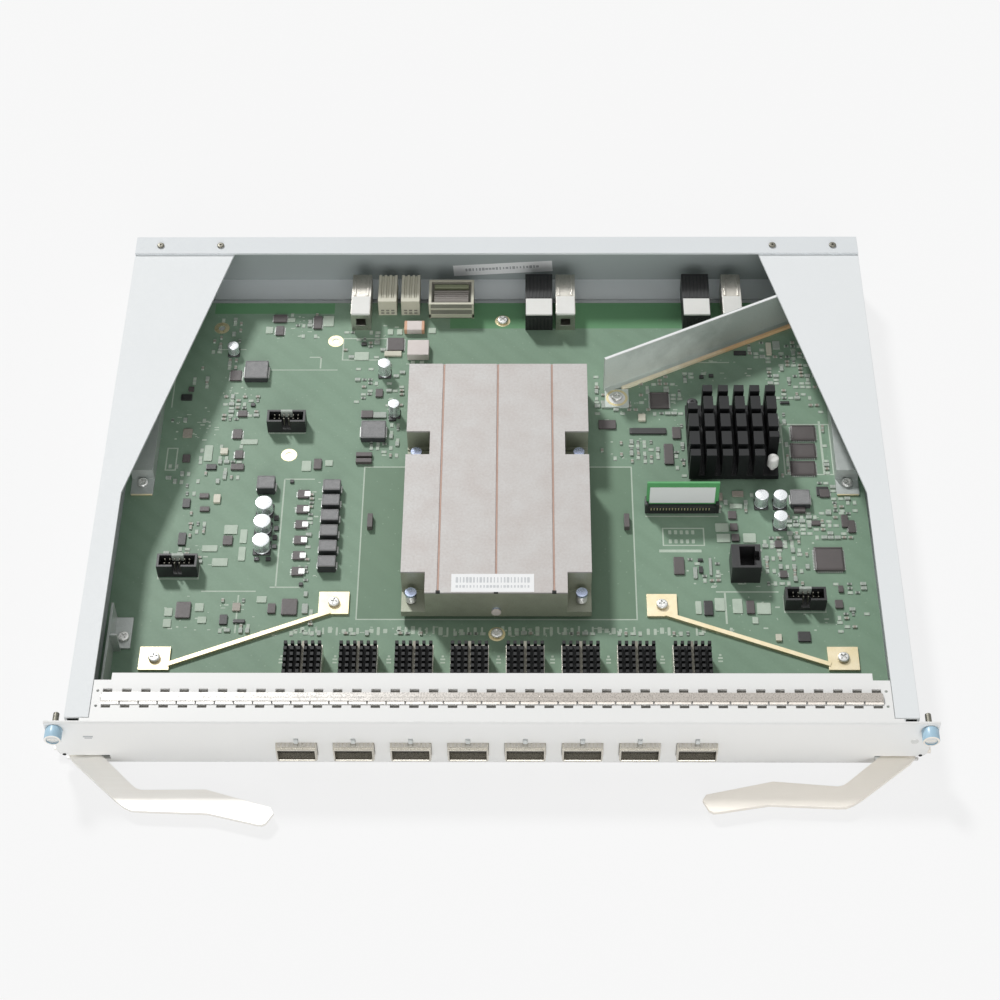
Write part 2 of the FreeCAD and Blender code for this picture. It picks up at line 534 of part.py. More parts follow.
def tray_and_board():
    """The sheet tray with its standoffs, the board on them and the screws that hold it."""
    sheet_metal = block(span("0", "tray_width"), (f"{PANEL_BACK} + fit_gap", BOARD_REAR),
                        ("panel_sheet", TRAY_TOP))
    seats = TAB_SCREWS + BARE_SCREWS
    standoffs = [post(*spot(name), "standoff_radius", ("panel_sheet", BOARD_UNDER)) for name in seats]
    depth = ("panel_sheet - overcut", f"{BOARD_UNDER} + overcut")
    bores = [post(*spot(name), "screw_radius + run_gap", depth) for name in seats]
    finish(cut(join([sheet_metal] + standoffs), bores), "bottom_tray")

    board = block(span("0", "board_width"), (BOARD_FRONT, BOARD_REAR), (BOARD_UNDER, BOARD_TOP))
    through = (f"{BOARD_UNDER} - overcut", f"{BOARD_TOP} + overcut")
    notch_x = ("board_width / 2 - board_notch_width", "board_width / 2 + overcut")
    notch_y = (f"{BOARD_FRONT} - overcut", f"{BOARD_FRONT} + board_notch_length")
    tools = [block(notch_x, notch_y, through),
             block((f"-({notch_x[1]})", f"-({notch_x[0]})"), notch_y, through)]
    tools += [post(*spot(name), "screw_radius + run_gap", through) for name in seats]
    tools += [post(*spot(name), "gold_hole_radius", through) for name in GOLD_HOLES]
    tools += [post(*place, "screw_radius + run_gap", through) for place in spring_screw_places()]
    tools += [post(*place, "push_pin_radius + run_gap", through) for place in push_pin_places()]
    finish(cut(board, tools), "main_board")

    screws = []
    for names, seat in ((TAB_SCREWS, TAB_TOP), (BARE_SCREWS, BOARD_TOP)):
        for name in names:
            screws.append(join([post(*spot(name), "screw_radius", (TRAY_TOP, seat)),
                                post(*spot(name), "head_radius", (seat, f"{seat} + head_height"))]))
    finish(group(screws), "board_screws")


def screwed_tab(name, across, along):
    """A flat tab on the board with a clearance hole for one screw, and its cutting tool."""
    return (block(across, along, (BOARD_TOP, TAB_TOP)),
            post(*spot(name), "screw_radius + run_gap", (f"{BOARD_TOP} - overcut", f"{TAB_TOP} + overcut")))


def side_rail(side, name, screw):
    """An inverted channel along one edge of the board, with a screwed foot in front."""
    centre = f"({screw}_x)"
    start = f"({FACE} + {screw}_back + rail_setback)"
    end = f"({start} + rail_length)"
    body = block(span(centre, "rail_width"), (start, end), (BOARD_TOP, f"{BOARD_TOP} + rail_height"))
    hollow = block(span(centre, "rail_width - 2 * rail_sheet"), (f"{start} - overcut", f"{end} + overcut"),
                   (f"{BOARD_TOP} - overcut", f"{BOARD_TOP} + rail_height - rail_sheet"))
    foot, bore = screwed_tab(screw, span(centre, "rail_width"), (f"{start} - rail_foot", start))
    lip = block(span(centre, "rail_width"), (f"{start} - rail_sheet", start),
                (BOARD_TOP, f"{BOARD_TOP} + rail_height"))
    finish(cut(join([cut(body, [hollow]), lip, foot]), [bore]), name)


def corner_bracket():
    """A tab with two upright webs at the front left of the board."""
    across, along = spot("corner_screw")
    wall = f"({across} - corner_tab_side)"
    rear = f"({along} + corner_tab_rear)"
    front = f"({rear} - corner_tab_length)"
    foot, bore = screwed_tab("corner_screw", (wall, f"{wall} + corner_tab_width"), (front, rear))
    up = (BOARD_TOP, f"{BOARD_TOP} + corner_web_height")
    web = block((wall, f"{wall} + rail_sheet"), (f"{rear} - corner_web_length", rear), up)
    rib = block((wall, f"{wall} + corner_tab_width / 2"), (f"{front} - rail_sheet", front), up)
    finish(cut(join([foot, web, rib]), [bore]), "corner_bracket")


def stiffener(side, name, outer, inner):
    """Two screwed tabs with an upright bar between them."""
    tabs, bores = [], []
    for screw in (outer, inner):
        place = spot(screw)
        tab, bore = screwed_tab(screw, span(place[0], "tab_width"), span(place[1], "tab_length"))
        tabs.append(tab)
        bores.append(bore)
    (x0, y0), (x1, y1) = spot(outer), spot(inner)
    start = (f"{x0} - {side} * bar_start_x", f"{y0} - bar_start_y")
    end = (f"{x1} + {side} * bar_end_x", f"{y1} - bar_end_y")
    left, right = (start, end) if side < 0 else (end, start)
    bar = beam(left, right, "bar_width", (BOARD_TOP, f"{BOARD_TOP} + bar_height"))
    finish(cut(join(tabs + [bar]), bores), name)


def air_baffle():
    """An upright plate across the rear right of the board, on a flat foot with one tab."""
    across, along = spot("baffle_screw")
    start = (f"{across} - baffle_start_x", f"{along} + baffle_start_y")
    end = (f"{start[0]} + baffle_run * cos(baffle_angle)", f"{start[1]} + baffle_run * sin(baffle_angle)")
    wall = beam(start, end, "baffle_sheet", (BOARD_TOP, f"{BOARD_TOP} + baffle_height"))
    right, forward = "baffle_foot * sin(baffle_angle)", "baffle_foot * cos(baffle_angle)"
    foot = beam((f"{start[0]} + {right}", f"{start[1]} - {forward}"),
                (f"{end[0]} + {right}", f"{end[1]} - {forward}"),
                "baffle_foot + baffle_sheet / 2", (BOARD_TOP, TAB_TOP))
    tab, bore = screwed_tab("baffle_screw", span(across, "baffle_tab"), span(along, "baffle_tab"))
    finish(cut(join([wall, foot, tab]), [bore]), "air_baffle")


# ---------------------------------------------------------------- main heat sink

def cover_cuts(up):
    """Four front and side notches of the main heat sink, over a range of heights."""
    tools = []
    corner = (f"{COVER_FRONT} - overcut", "corner_cut_length + overcut", "corner_cut_width")
    notch = (f"{COVER_FRONT} + side_cut_start", "side_cut_length", "side_cut_width")
    for side in (-1, 1):
        for start, length, width in (corner, notch):
            edge = f"(cover_x + {side} * cover_width / 2)"
            inner, outer = f"{edge} - {side} * {width}", f"{edge} + {side} * overcut"
            across = (inner, outer) if side > 0 else (outer, inner)
            tools.append(block(across, (start, f"{start} + {length}"), up))
    return tools


def main_heat_sink():
    """The switch chip, the spreader plate on it, folded fins, and the cover plate."""
    chip_y = f"({FACE} + switch_chip_reach)"
    finish(block(span("cover_x", "switch_chip_size"), span(chip_y, "switch_chip_size"),
                 (BOARD_TOP, SPREADER_UNDER)), "switch_chip")
    across, along = span("cover_x", "cover_width"), (COVER_FRONT, COVER_REAR)
    spreader = block(across, along, (SPREADER_UNDER, SPREADER_TOP))
    through = (f"{SPREADER_UNDER} - overcut", f"{SPREADER_TOP} + overcut")
    bores = [post(*place, "screw_radius + run_gap", through) for place in spring_screw_places()]
    finish(cut(spreader, bores), "heatsink_base")

    comb = block(across, along, (SPREADER_TOP, FIN_TOP))
    middle = f"({COVER_FRONT} + cover_length / 2)"
    channels = []
    for number in range(FIN_CHANNELS):
        place = f"({middle} + fin_pitch * {number - (FIN_CHANNELS - 1) / 2})"
        channels.append(block((f"{across[0]} - overcut", f"{across[1]} + overcut"),
                              span(place, "fin_pitch - fin_thickness"),
                              (f"{SPREADER_TOP} + fin_foot", f"{FIN_TOP} + overcut")))
    notches = cover_cuts((f"{SPREADER_TOP} - overcut", f"{FIN_TOP} + overcut"))
    eye = pin("cover_x", f"{BOARD_TOP} + front_screw_height", "front_screw_radius + run_gap",
              (f"{COVER_FRONT} - overcut", f"{COVER_FRONT} + fin_pitch"))
    finish(cut(cut(cut(comb, channels), notches), [eye]), "heatsink_fins")

    cover = block(across, along, (FIN_TOP, f"{FIN_TOP} + cover_sheet"))
    tools = cover_cuts((f"{FIN_TOP} - overcut", f"{FIN_TOP} + cover_sheet + overcut"))
    for number in range(COVER_GROOVES):
        place = f"(cover_x + groove_pitch * {number - (COVER_GROOVES - 1) / 2})"
        tools.append(block(span(place, "groove_width"), (f"{along[0]} - overcut", f"{along[1]} + overcut"),
                           (f"{FIN_TOP} + cover_sheet - groove_depth", f"{FIN_TOP} + cover_sheet + overcut")))
    finish(cut(cover, tools), "heatsink_cover")

    screws, springs = [], []
    head = f"({BOARD_TOP} + spring_screw_height)"
    for place in spring_screw_places():
        shank = post(*place, "screw_radius", (BOARD_UNDER, head))
        cap = post(*place, "spring_head_radius", (f"{head} - spring_head_height", head))
        screws.append(join([shank, cap]))
        under_cap = f"({head} - spring_head_height)"
        coil = post(*place, "spring_radius - fit_gap", (SPREADER_TOP, under_cap))
        hollow = post(*place, "spring_radius - fit_gap - spring_wall",
                      (f"{SPREADER_TOP} - overcut", f"{under_cap} + overcut"))
        springs.append(cut(coil, [hollow]))
    eye_height = f"{BOARD_TOP} + front_screw_height"
    front_shank = pin("cover_x", eye_height, "front_screw_radius",
                      (COVER_FRONT, f"{COVER_FRONT} + fin_thickness"))
    front_cap = pin("cover_x", eye_height, "front_screw_head",
                    (f"{COVER_FRONT} - front_screw_head_height", COVER_FRONT))
    screws.append(join([front_shank, front_cap]))
    finish(group(screws), "heatsink_screws")
    finish(group(springs), "heatsink_springs")


# ---------------------------------------------------------------- processor

def processor():
    """The processor's chip, its pin-fin heat sink and the two push pins."""
    finish(block(span("cpu_x", "cpu_chip_size"), span(CPU_Y, "cpu_chip_size"),
                 (BOARD_TOP, CPU_SINK_UNDER)), "cpu_chip")
    across, along = span("cpu_x", "cpu_sink_width"), span(CPU_Y, "cpu_sink_length")
    top = f"({CPU_SINK_FLOOR} + cpu_sink_height - cpu_sink_base)"
    up = (CPU_SINK_FLOOR, f"{top} + overcut")
    whole = block(across, along, (CPU_SINK_UNDER, top))
    lanes = [block(span(f"(cpu_x + cpu_lane_pitch * {number - (CPU_LANES - 1) / 2})", "cpu_lane"),
                   (f"{along[0]} - overcut", f"{along[1]} + overcut"), up) for number in range(CPU_LANES)]
    rows = [block((f"{across[0]} - overcut", f"{across[1]} + overcut"),
                  span(f"({CPU_Y} + cpu_row_pitch * {number - (CPU_ROWS - 1) / 2})", "cpu_row"), up)
            for number in range(CPU_ROWS)]
    corners = [block((f"{across[0]} - overcut", f"{across[0]} + cpu_corner_width"),
                     (f"{along[1]} - cpu_corner_length", f"{along[1]} + overcut"), up),
               block((f"{across[1]} - cpu_corner_width", f"{across[1]} + overcut"),
                     (f"{along[0]} - overcut", f"{along[0]} + cpu_corner_length"), up)]
    bores = [post(*place, "push_pin_radius + run_gap", (f"{CPU_SINK_UNDER} - overcut", up[1]))
             for place in push_pin_places()]
    finish(cut(cut(cut(cut(whole, lanes), rows), corners), bores), "cpu_heatsink")
    pins = []
    for place in push_pin_places():
        head = f"({BOARD_TOP} + push_pin_height)"
        pins.append(join([post(*place, "push_pin_radius", (BOARD_UNDER, head)),
                          post(*place, "push_pin_head", (f"{head} - push_pin_head_height", head))]))
    finish(group(pins), "push_pins")


# ---------------------------------------------------------------- ports

def port(number):
    """One cage through the panel with a collar, and the pin-fin heat sink that sits in its top."""
    centre = port_x(number)
    outer = block(span(centre, "cage_width"), (CAGE_FRONT, CAGE_REAR), (BOARD_TOP, CAGE_TOP))
    collar = block(span(centre, "cage_width + 2 * collar_thickness"),
                   (f"{CAGE_FRONT} + collar_inset", f"{CAGE_FRONT} + collar_inset + collar_length"),
                   (f"{BOARD_TOP} - collar_thickness", f"{CAGE_TOP} + collar_thickness"))
    board_clear = block(span(centre, "cage_width + 4 * collar_thickness"),
                        (f"{BOARD_FRONT} - fit_gap", CAGE_REAR), (f"{BOARD_TOP} - overcut", BOARD_TOP))
    cavity = block(span(centre, "cage_width - 2 * cage_wall"),
                   (f"{CAGE_FRONT} - overcut", f"{CAGE_REAR} - cage_wall"),
                   (f"{BOARD_TOP} + cage_wall", f"{CAGE_TOP} - cage_wall"))
    window_y = (f"{CAGE_FRONT} + cage_window_front", f"{CAGE_FRONT} + cage_window_front + cage_window_length")
    window = block(span(centre, "cage_window_width"), window_y,
                   (f"{CAGE_TOP} - cage_wall - sink_pedestal", f"{CAGE_TOP} + overcut"))
    finish(cut(cut(join([outer, collar]), [cavity, board_clear]), [window]), f"port_cage_{number + 1}")

    rear = f"({SINK_FRONT} + sink_length)"
    across = span(centre, "sink_width")
    top = f"({SINK_TOP} + sink_height)"
    body = block(across, (SINK_FRONT, rear), (CAGE_TOP, top))
    up = (SINK_TOP, f"{top} + overcut")
    lanes = [block(span(f"({centre} + sink_lane_pitch * {lane - (SINK_LANES - 1) / 2})", "sink_lane"),
                   (f"{SINK_FRONT} - overcut", f"{rear} + overcut"), up) for lane in range(SINK_LANES)]
    middle = f"({SINK_FRONT} + sink_length / 2)"
    rows = [block((f"{across[0]} - overcut", f"{across[1]} + overcut"),
                  span(f"({middle} + sink_row_pitch * {row - (SINK_ROWS - 1) / 2})", "sink_row"), up)
            for row in range(SINK_ROWS)]
    pedestal = block(span(centre, "cage_window_width - 2 * pipe_gap"),
                     (f"{window_y[0]} + pipe_gap", f"{window_y[1]} - pipe_gap"),
                     (f"{CAGE_TOP} - cage_wall - sink_pedestal", CAGE_TOP))
    finish(join([cut(cut(body, lanes), rows), pedestal]), f"cage_heatsink_{number + 1}")


def cage_clips():
    """A strip down the middle of each cage heat sink, with a leg behind the cage."""
    clips = []
    for number in range(PORTS):
        across = span(port_x(number), "clip_width")
        front, rear = f"({SINK_FRONT} - clip_overlap)", f"({CAGE_REAR} + fit_gap + clip_thickness)"
        strip = block(across, (front, rear), (SINK_TOP, f"{SINK_TOP} + clip_thickness"))
        toe = block(across, (front, f"{front} + clip_thickness"), (CAGE_TOP, f"{SINK_TOP} + clip_thickness"))
        leg = block(across, (f"{rear} - clip_thickness", rear),
                    (f"{CAGE_TOP} - clip_leg", f"{SINK_TOP} + clip_thickness"))
        clips.append(join([strip, toe, leg]))
    finish(group(clips), "cage_clips")


def port_connectors():
    """A slotted block at the back of each cage that a plug-in module mates with."""
    pieces = []
    floor = f"({BOARD_TOP} + cage_wall)"
    for number in range(PORTS):
        rear = f"({CAGE_REAR} - connector_rear)"
        front = f"({rear} - connector_length)"
        body = block(span(port_x(number), "connector_width"), (front, rear),
                     (floor, f"{floor} + connector_height"))
        mouth = block(span(port_x(number), "connector_mouth"),
                      (f"{front} - overcut", f"{front} + connector_length / 2"),
                      span(f"({floor} + connector_height / 2)", "connector_slot"))
        pieces.append(cut(body, [mouth]))
    finish(group(pieces), "port_connectors")


# ---------------------------------------------------------------- parts on the board

def box_headers():
    """Shrouded headers: an open box with a key gap in its front wall."""
    pieces = []
    top = f"({BOARD_TOP} + header_height)"
    for name in HEADERS:
        across, along = spot(name)
        body = block(span(across, "header_width"), span(along, "header_length"), (BOARD_TOP, top))
        depth = (f"{top} - header_depth", f"{top} + overcut")
        pocket = block(span(across, "header_width - 2 * header_wall"),
                       span(along, "header_length - 2 * header_wall"), depth)
        key = block(span(across, "header_key"),
                    (f"{along} - header_length", f"{along} - header_length / 2 + header_wall"), depth)
        pieces.append(cut(cut(body, [pocket]), [key]))
    finish(group(pieces), "box_headers")


def console_jack():
    """A top-entry jack with a latch step on its right."""
    place = ("jack_x", f"({FACE} + jack_reach)")
    top = f"({BOARD_TOP} + jack_height)"
    body = block(span(place[0], "jack_width"), span(place[1], "jack_length"), (BOARD_TOP, top))
    left, right = f"{place[0]} - jack_width / 2", f"{place[0]} + jack_width / 2"
    socket = block((f"{left} + 3 * jack_wall", f"{right} - 2 * jack_wall"),
                   span(place[1], "jack_length - 2 * jack_wall"), (f"{top} - jack_depth", f"{top} + overcut"))
    latch = block((place[0], f"{right} - jack_wall / 2"), span(place[1], "jack_length / 2 - jack_wall"),
                  (f"{top} - jack_depth / 2", f"{top} + overcut"))
    finish(cut(cut(body, [socket]), [latch]), "console_jack")


def memory():
    """An upright memory module in its socket."""
    along = f"({FACE} + memory_reach)"
    top = f"({BOARD_TOP} + socket_height)"
    body = block(span("memory_x", "socket_width"), span(along, "socket_length"), (BOARD_TOP, top))
    floor = f"({top} - module_depth)"
    groove = block(span("memory_x", "socket_width + 2 * overcut"),
                   span(along, "module_thickness + 2 * run_gap"), (floor, f"{top} + overcut"))
    finish(cut(body, [groove]), "memory_socket")
    finish(block(span("memory_x", "module_width"), span(along, "module_thickness"),
                 (floor, f"{BOARD_TOP} + module_height")), "memory_module")


def rear_connectors():
    """Guide, power, signal and backplane connectors along the rear edge of the board."""
    def standing(name, kind):
        front = f"({FACE} + {kind}_front)"
        return block(span(f"{name}_x", f"{kind}_width"), (front, f"{front} + {kind}_length"),
                     (BOARD_TOP, f"{BOARD_TOP} + {kind}_height"))

    guides = []
    for name in ("guide_left", "guide_middle", "guide_right"):
        front = f"({FACE} + guide_front)"
        bore = block(span(f"{name}_x", "guide_bore"),
                     (f"{front} - overcut", f"{front} + guide_length + overcut"),
                     span(f"({BOARD_TOP} + guide_height / 2)", "guide_bore"))
        guides.append(cut(standing(name, "guide"), [bore]))
    finish(group(guides), "guide_modules")
    powers = []
    power_top = f"({BOARD_TOP} + power_height)"
    for name in ("power_outer", "power_inner"):
        front = f"({FACE} + power_front)"
        slots = [block(span(f"({name}_x + {side} * power_slot_pitch)", "power_slot"),
                       (f"{front} + 2 * power_slot", f"{front} + power_length + overcut"),
                       (f"{power_top} - 2 * power_slot", f"{power_top} + overcut"))
                 for side in (-1, 0, 1)]
        powers.append(cut(standing(name, "power"), slots))
    finish(group(powers), "power_connectors")
    finish(group([standing(name, "signal") for name in ("signal_left", "signal_right")]), "signal_connectors")
    front = f"({FACE} + backplane_front)"
    top = f"({BOARD_TOP} + backplane_height)"
    recess = block(span("backplane_x", "backplane_width - 2 * backplane_rim"),
                   (f"{front} + backplane_rim", f"{front} + backplane_length - backplane_rim"),
                   (f"{top} - backplane_recess", f"{top} + overcut"))
    finish(cut(standing("backplane", "backplane"), [recess]), "backplane_header")


def board_parts():
    """Inductors, chips and can capacitors, one solid each."""
    for table, node in ((INDUCTORS, "inductors"), (CHIPS, "chips")):
        finish(group([block(span(f"{name}_x", f"{name}_wide"),
                            span(f"({FACE} + {name}_back)", f"{name}_long"),
                            (BOARD_TOP, f"{BOARD_TOP} + {name}_tall")) for name in table]), node)
    finish(group([post(f"{name}_x", f"{FACE} + {name}_back", f"{name}_round / 2",
                       (BOARD_TOP, f"{BOARD_TOP} + {name}_tall")) for name in CAPACITORS]), "capacitors")


# ---------------------------------------------------------------- protective box

def rivet_places():
    """Centres of the four rivets that hold the rear bar."""
    return [(f"({side} * {name})", f"({REAR} - rivet_inset)")
            for side in (-1, 1) for name in ("rivet_outer", "rivet_inner")]


def box_side(side, name):
    """A channel along one side: wall, narrow foot and a top strip that widens to the rear."""
    reach = f"({REAR} - box_sheet)"
    front = f"({FACE} + strip_front)"
    corners = [(STRIP_INNER, front), (SIDE, front), (SIDE, reach), ("tab_inner", reach),
               ("tab_inner", f"{FACE} + tab_front"), (STRIP_INNER, f"{FACE} + strip_bend")]
    top = plate([(f"{side} * ({across})", along) for across, along in corners],
                f"{BOX_TOP} - box_sheet", "box_sheet")

    def between(inner, outer):
        ends = (f"{side} * ({inner})", f"{side} * ({outer})")
        return ends if side > 0 else ends[::-1]

    wall = block(between(f"{SIDE} - box_sheet", SIDE), (front, reach), (FLOOR_TOP, BOX_TOP))
    foot = block(between(f"{SIDE} - box_flange", SIDE), (f"{FACE} + relief_length", reach),
                 (FLOOR_TOP, "2 * box_sheet"))
    relief = block(between(f"{SIDE} - box_flange - overcut", f"{SIDE} + overcut"),
                   (f"{front} - overcut", f"{FACE} + relief_length"), ("0", "relief_height"))
    bores = [post(*place, "rivet_radius + run_gap", (f"{BOX_TOP} - 2 * box_sheet", f"{BOX_TOP} + overcut"))
             for place in rivet_places()]
    finish(cut(join([top, wall, foot]), [relief] + bores), name)


def protective_box():
    """Floor, two side channels, the rear bar over them and its rivets."""
    finish(block((f"-{SIDE}", SIDE), (f"{FACE} + floor_front", REAR), ("0", FLOOR_TOP)), "box_floor")
    box_side(-1, "box_side_left")
    box_side(1, "box_side_right")
    wide = (f"-{SIDE}", SIDE)
    lid = block(wide, (f"{REAR} - bar_top_depth", REAR), (BOX_TOP, f"{BOX_TOP} + box_sheet"))
    wall = block(wide, (f"{REAR} - box_sheet", REAR), (FLOOR_TOP, f"{BOX_TOP} + box_sheet"))
    foot = block(span("0", f"2 * ({SIDE} - box_flange - fit_gap)"), (f"{REAR} - bar_foot_depth", REAR),
                 (FLOOR_TOP, "2 * box_sheet"))
    over = ("panel_height - overcut", f"{BOX_TOP} + box_sheet + overcut")
    bores = [post(*place, "rivet_radius + run_gap", over) for place in rivet_places()]
    finish(cut(join([lid, wall, foot]), bores), "box_rear_bar")
    top = f"({BOX_TOP} + box_sheet)"
    finish(group([join([post(*place, "rivet_radius", (f"{BOX_TOP} - box_sheet", top)),
                        post(*place, "rivet_head_radius", (top, f"{top} + rivet_head_height"))])
                  for place in rivet_places()]), "box_rivets")


def build():
    """Makes every sub-part of the card and its box."""
    front_panel()
    gasket_strip()
    light_pipes()
    lever(-1, "lever_left", "left_lever_rest")
    lever(1, "lever_right", "0")
    lever_pins()
    thumbscrew(-1, "thumbscrew_left")
    thumbscrew(1, "thumbscrew_right")
    tray_and_board()
    side_rail(-1, "side_rail_left", "rail_screw_left")
    side_rail(1, "side_rail_right", "rail_screw_right")
    corner_bracket()
    stiffener(-1, "stiffener_left", "left_outer_screw", "left_inner_screw")
    stiffener(1, "stiffener_right", "right_outer_screw", "right_inner_screw")
    air_baffle()
    main_heat_sink()
    processor()
    for number in range(PORTS):
        port(number)
    cage_clips()
    port_connectors()
    box_headers()
    console_jack()
    memory()
    rear_connectors()
    board_parts()
    protective_box()


def write_nodes():
    """Checks every object of the document, then writes one STEP file for each sub-part."""
    doc.recompute()
    failed = [item.Name for item in doc.Objects if {"Invalid", "Error"} & set(item.State)]
    if failed:
        raise RuntimeError(f"objects that failed: {failed}")
    os.makedirs("parts", exist_ok=True)
    for item in nodes:
        if item.Shape.isNull() or not item.Shape.isValid() or not item.Shape.Solids:
            raise RuntimeError(f"bad shape: {item.Label}")
    for item in nodes:
        item.Shape.exportStep(os.path.join("parts", f"{item.Label}.step"))
        box = item.Shape.BoundBox
        print(f"{item.Label}: {len(item.Shape.Solids)} solids, x {box.XMin:.1f} {box.XMax:.1f},"
              f" y {box.YMin:.1f} {box.YMax:.1f}, z {box.ZMin:.2f} {box.ZMax:.2f}")
    print(f"{len(nodes)} sub-parts")


build()
write_nodes()
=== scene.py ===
"""Looks of a switch line card in its protective box.

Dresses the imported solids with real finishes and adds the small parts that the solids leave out:
board print, passives, leads, coils, screws, labels, pins and springs.
"""

import logging
import math
import random
from dataclasses import dataclass
from enum import Enum
from typing import Callable, Dict, Iterable, List, Optional, Sequence, Tuple

import bmesh
import bpy
from mathutils import Matrix, Vector


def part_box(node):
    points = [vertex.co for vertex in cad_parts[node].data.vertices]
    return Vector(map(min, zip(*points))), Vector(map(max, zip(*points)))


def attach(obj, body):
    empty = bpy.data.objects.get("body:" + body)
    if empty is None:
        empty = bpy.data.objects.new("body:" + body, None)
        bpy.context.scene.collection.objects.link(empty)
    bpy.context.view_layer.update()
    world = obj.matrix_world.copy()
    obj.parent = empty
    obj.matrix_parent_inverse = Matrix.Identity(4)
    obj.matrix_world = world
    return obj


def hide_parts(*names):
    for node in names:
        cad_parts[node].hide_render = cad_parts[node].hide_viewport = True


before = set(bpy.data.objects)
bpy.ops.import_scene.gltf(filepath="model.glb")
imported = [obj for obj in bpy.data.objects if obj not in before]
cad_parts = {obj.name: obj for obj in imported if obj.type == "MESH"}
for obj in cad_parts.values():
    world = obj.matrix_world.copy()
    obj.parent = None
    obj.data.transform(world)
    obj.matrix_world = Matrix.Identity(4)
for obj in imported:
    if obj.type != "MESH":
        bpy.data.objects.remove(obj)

log = logging.getLogger("line_card")

MM = 0.001
CHASSIS = "chassis"
SEED = 7
BOARD_TOP = 6.9
PORTS = 8

Rule = Callable[[Vector, Vector], bool]
Point = Tuple[float, float, float]


# ---------------------------------------------------------------- places

@dataclass(frozen=True)
class Extent:
    """An upright box of space, in millimetres."""

    x0: float
    x1: float
    y0: float
    y1: float
    z0: float
    z1: float

    @property
    def middle(self) -> Point:
        """Centre of the box."""
        return ((self.x0 + self.x1) / 2, (self.y0 + self.y1) / 2, (self.z0 + self.z1) / 2)

    @property
    def size(self) -> Point:
        """Edge lengths of the box."""
        return (self.x1 - self.x0, self.y1 - self.y0, self.z1 - self.z0)


def around(x: float, y: float, width: float, length: float, z0: float, z1: float) -> Extent:
    """Gives the box of a part from its centre on the board, footprint and two heights."""
    return Extent(x - width / 2, x + width / 2, y - length / 2, y + length / 2, z0, z1)


def node_extent(node: str) -> Extent:
    """Reads a CAD node's box."""
    low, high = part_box(node)
    return Extent(low.x / MM, high.x / MM, low.y / MM, high.y / MM, low.z / MM, high.z / MM)


def islands(node: str) -> List[Extent]:
    """Finds the boxes of a CAD node's separate solids.

    Args:
        node: the CAD node's name.

    Returns:
        One box for each solid, from left to right and then from front to rear.
    """
    shell = bmesh.new()
    shell.from_mesh(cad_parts[node].data)
    bmesh.ops.remove_doubles(shell, verts=shell.verts, dist=1e-6)
    unseen = set(shell.verts)
    boxes = []
    while unseen:
        heap = [unseen.pop()]
        corners = []
        while heap:
            vert = heap.pop()
            corners.append(vert.co / MM)
            for edge in vert.link_edges:
                other = edge.other_vert(vert)
                if other in unseen:
                    unseen.remove(other)
                    heap.append(other)
        ranges = [(min(c[axis] for c in corners), max(c[axis] for c in corners)) for axis in range(3)]
        boxes.append(Extent(*ranges[0], *ranges[1], *ranges[2]))
    shell.free()
    return sorted(boxes, key=lambda box: (round(box.middle[0], 1), box.middle[1]))


def whole(centre: Vector, normal: Vector) -> bool:
    """Takes every face."""
    return True


def upward(centre: Vector, normal: Vector) -> bool:
    """Takes the faces that look up."""
    return normal.z > 0.9


# ---------------------------------------------------------------- bench

class Axis(Enum):
    """Which way a turned part points, as the turn that stands it there."""

    UP = (0.0, 0.0, 0.0)
    BACK = (-math.pi / 2, 0.0, 0.0)
    ACROSS = (0.0, math.pi / 2, 0.0)


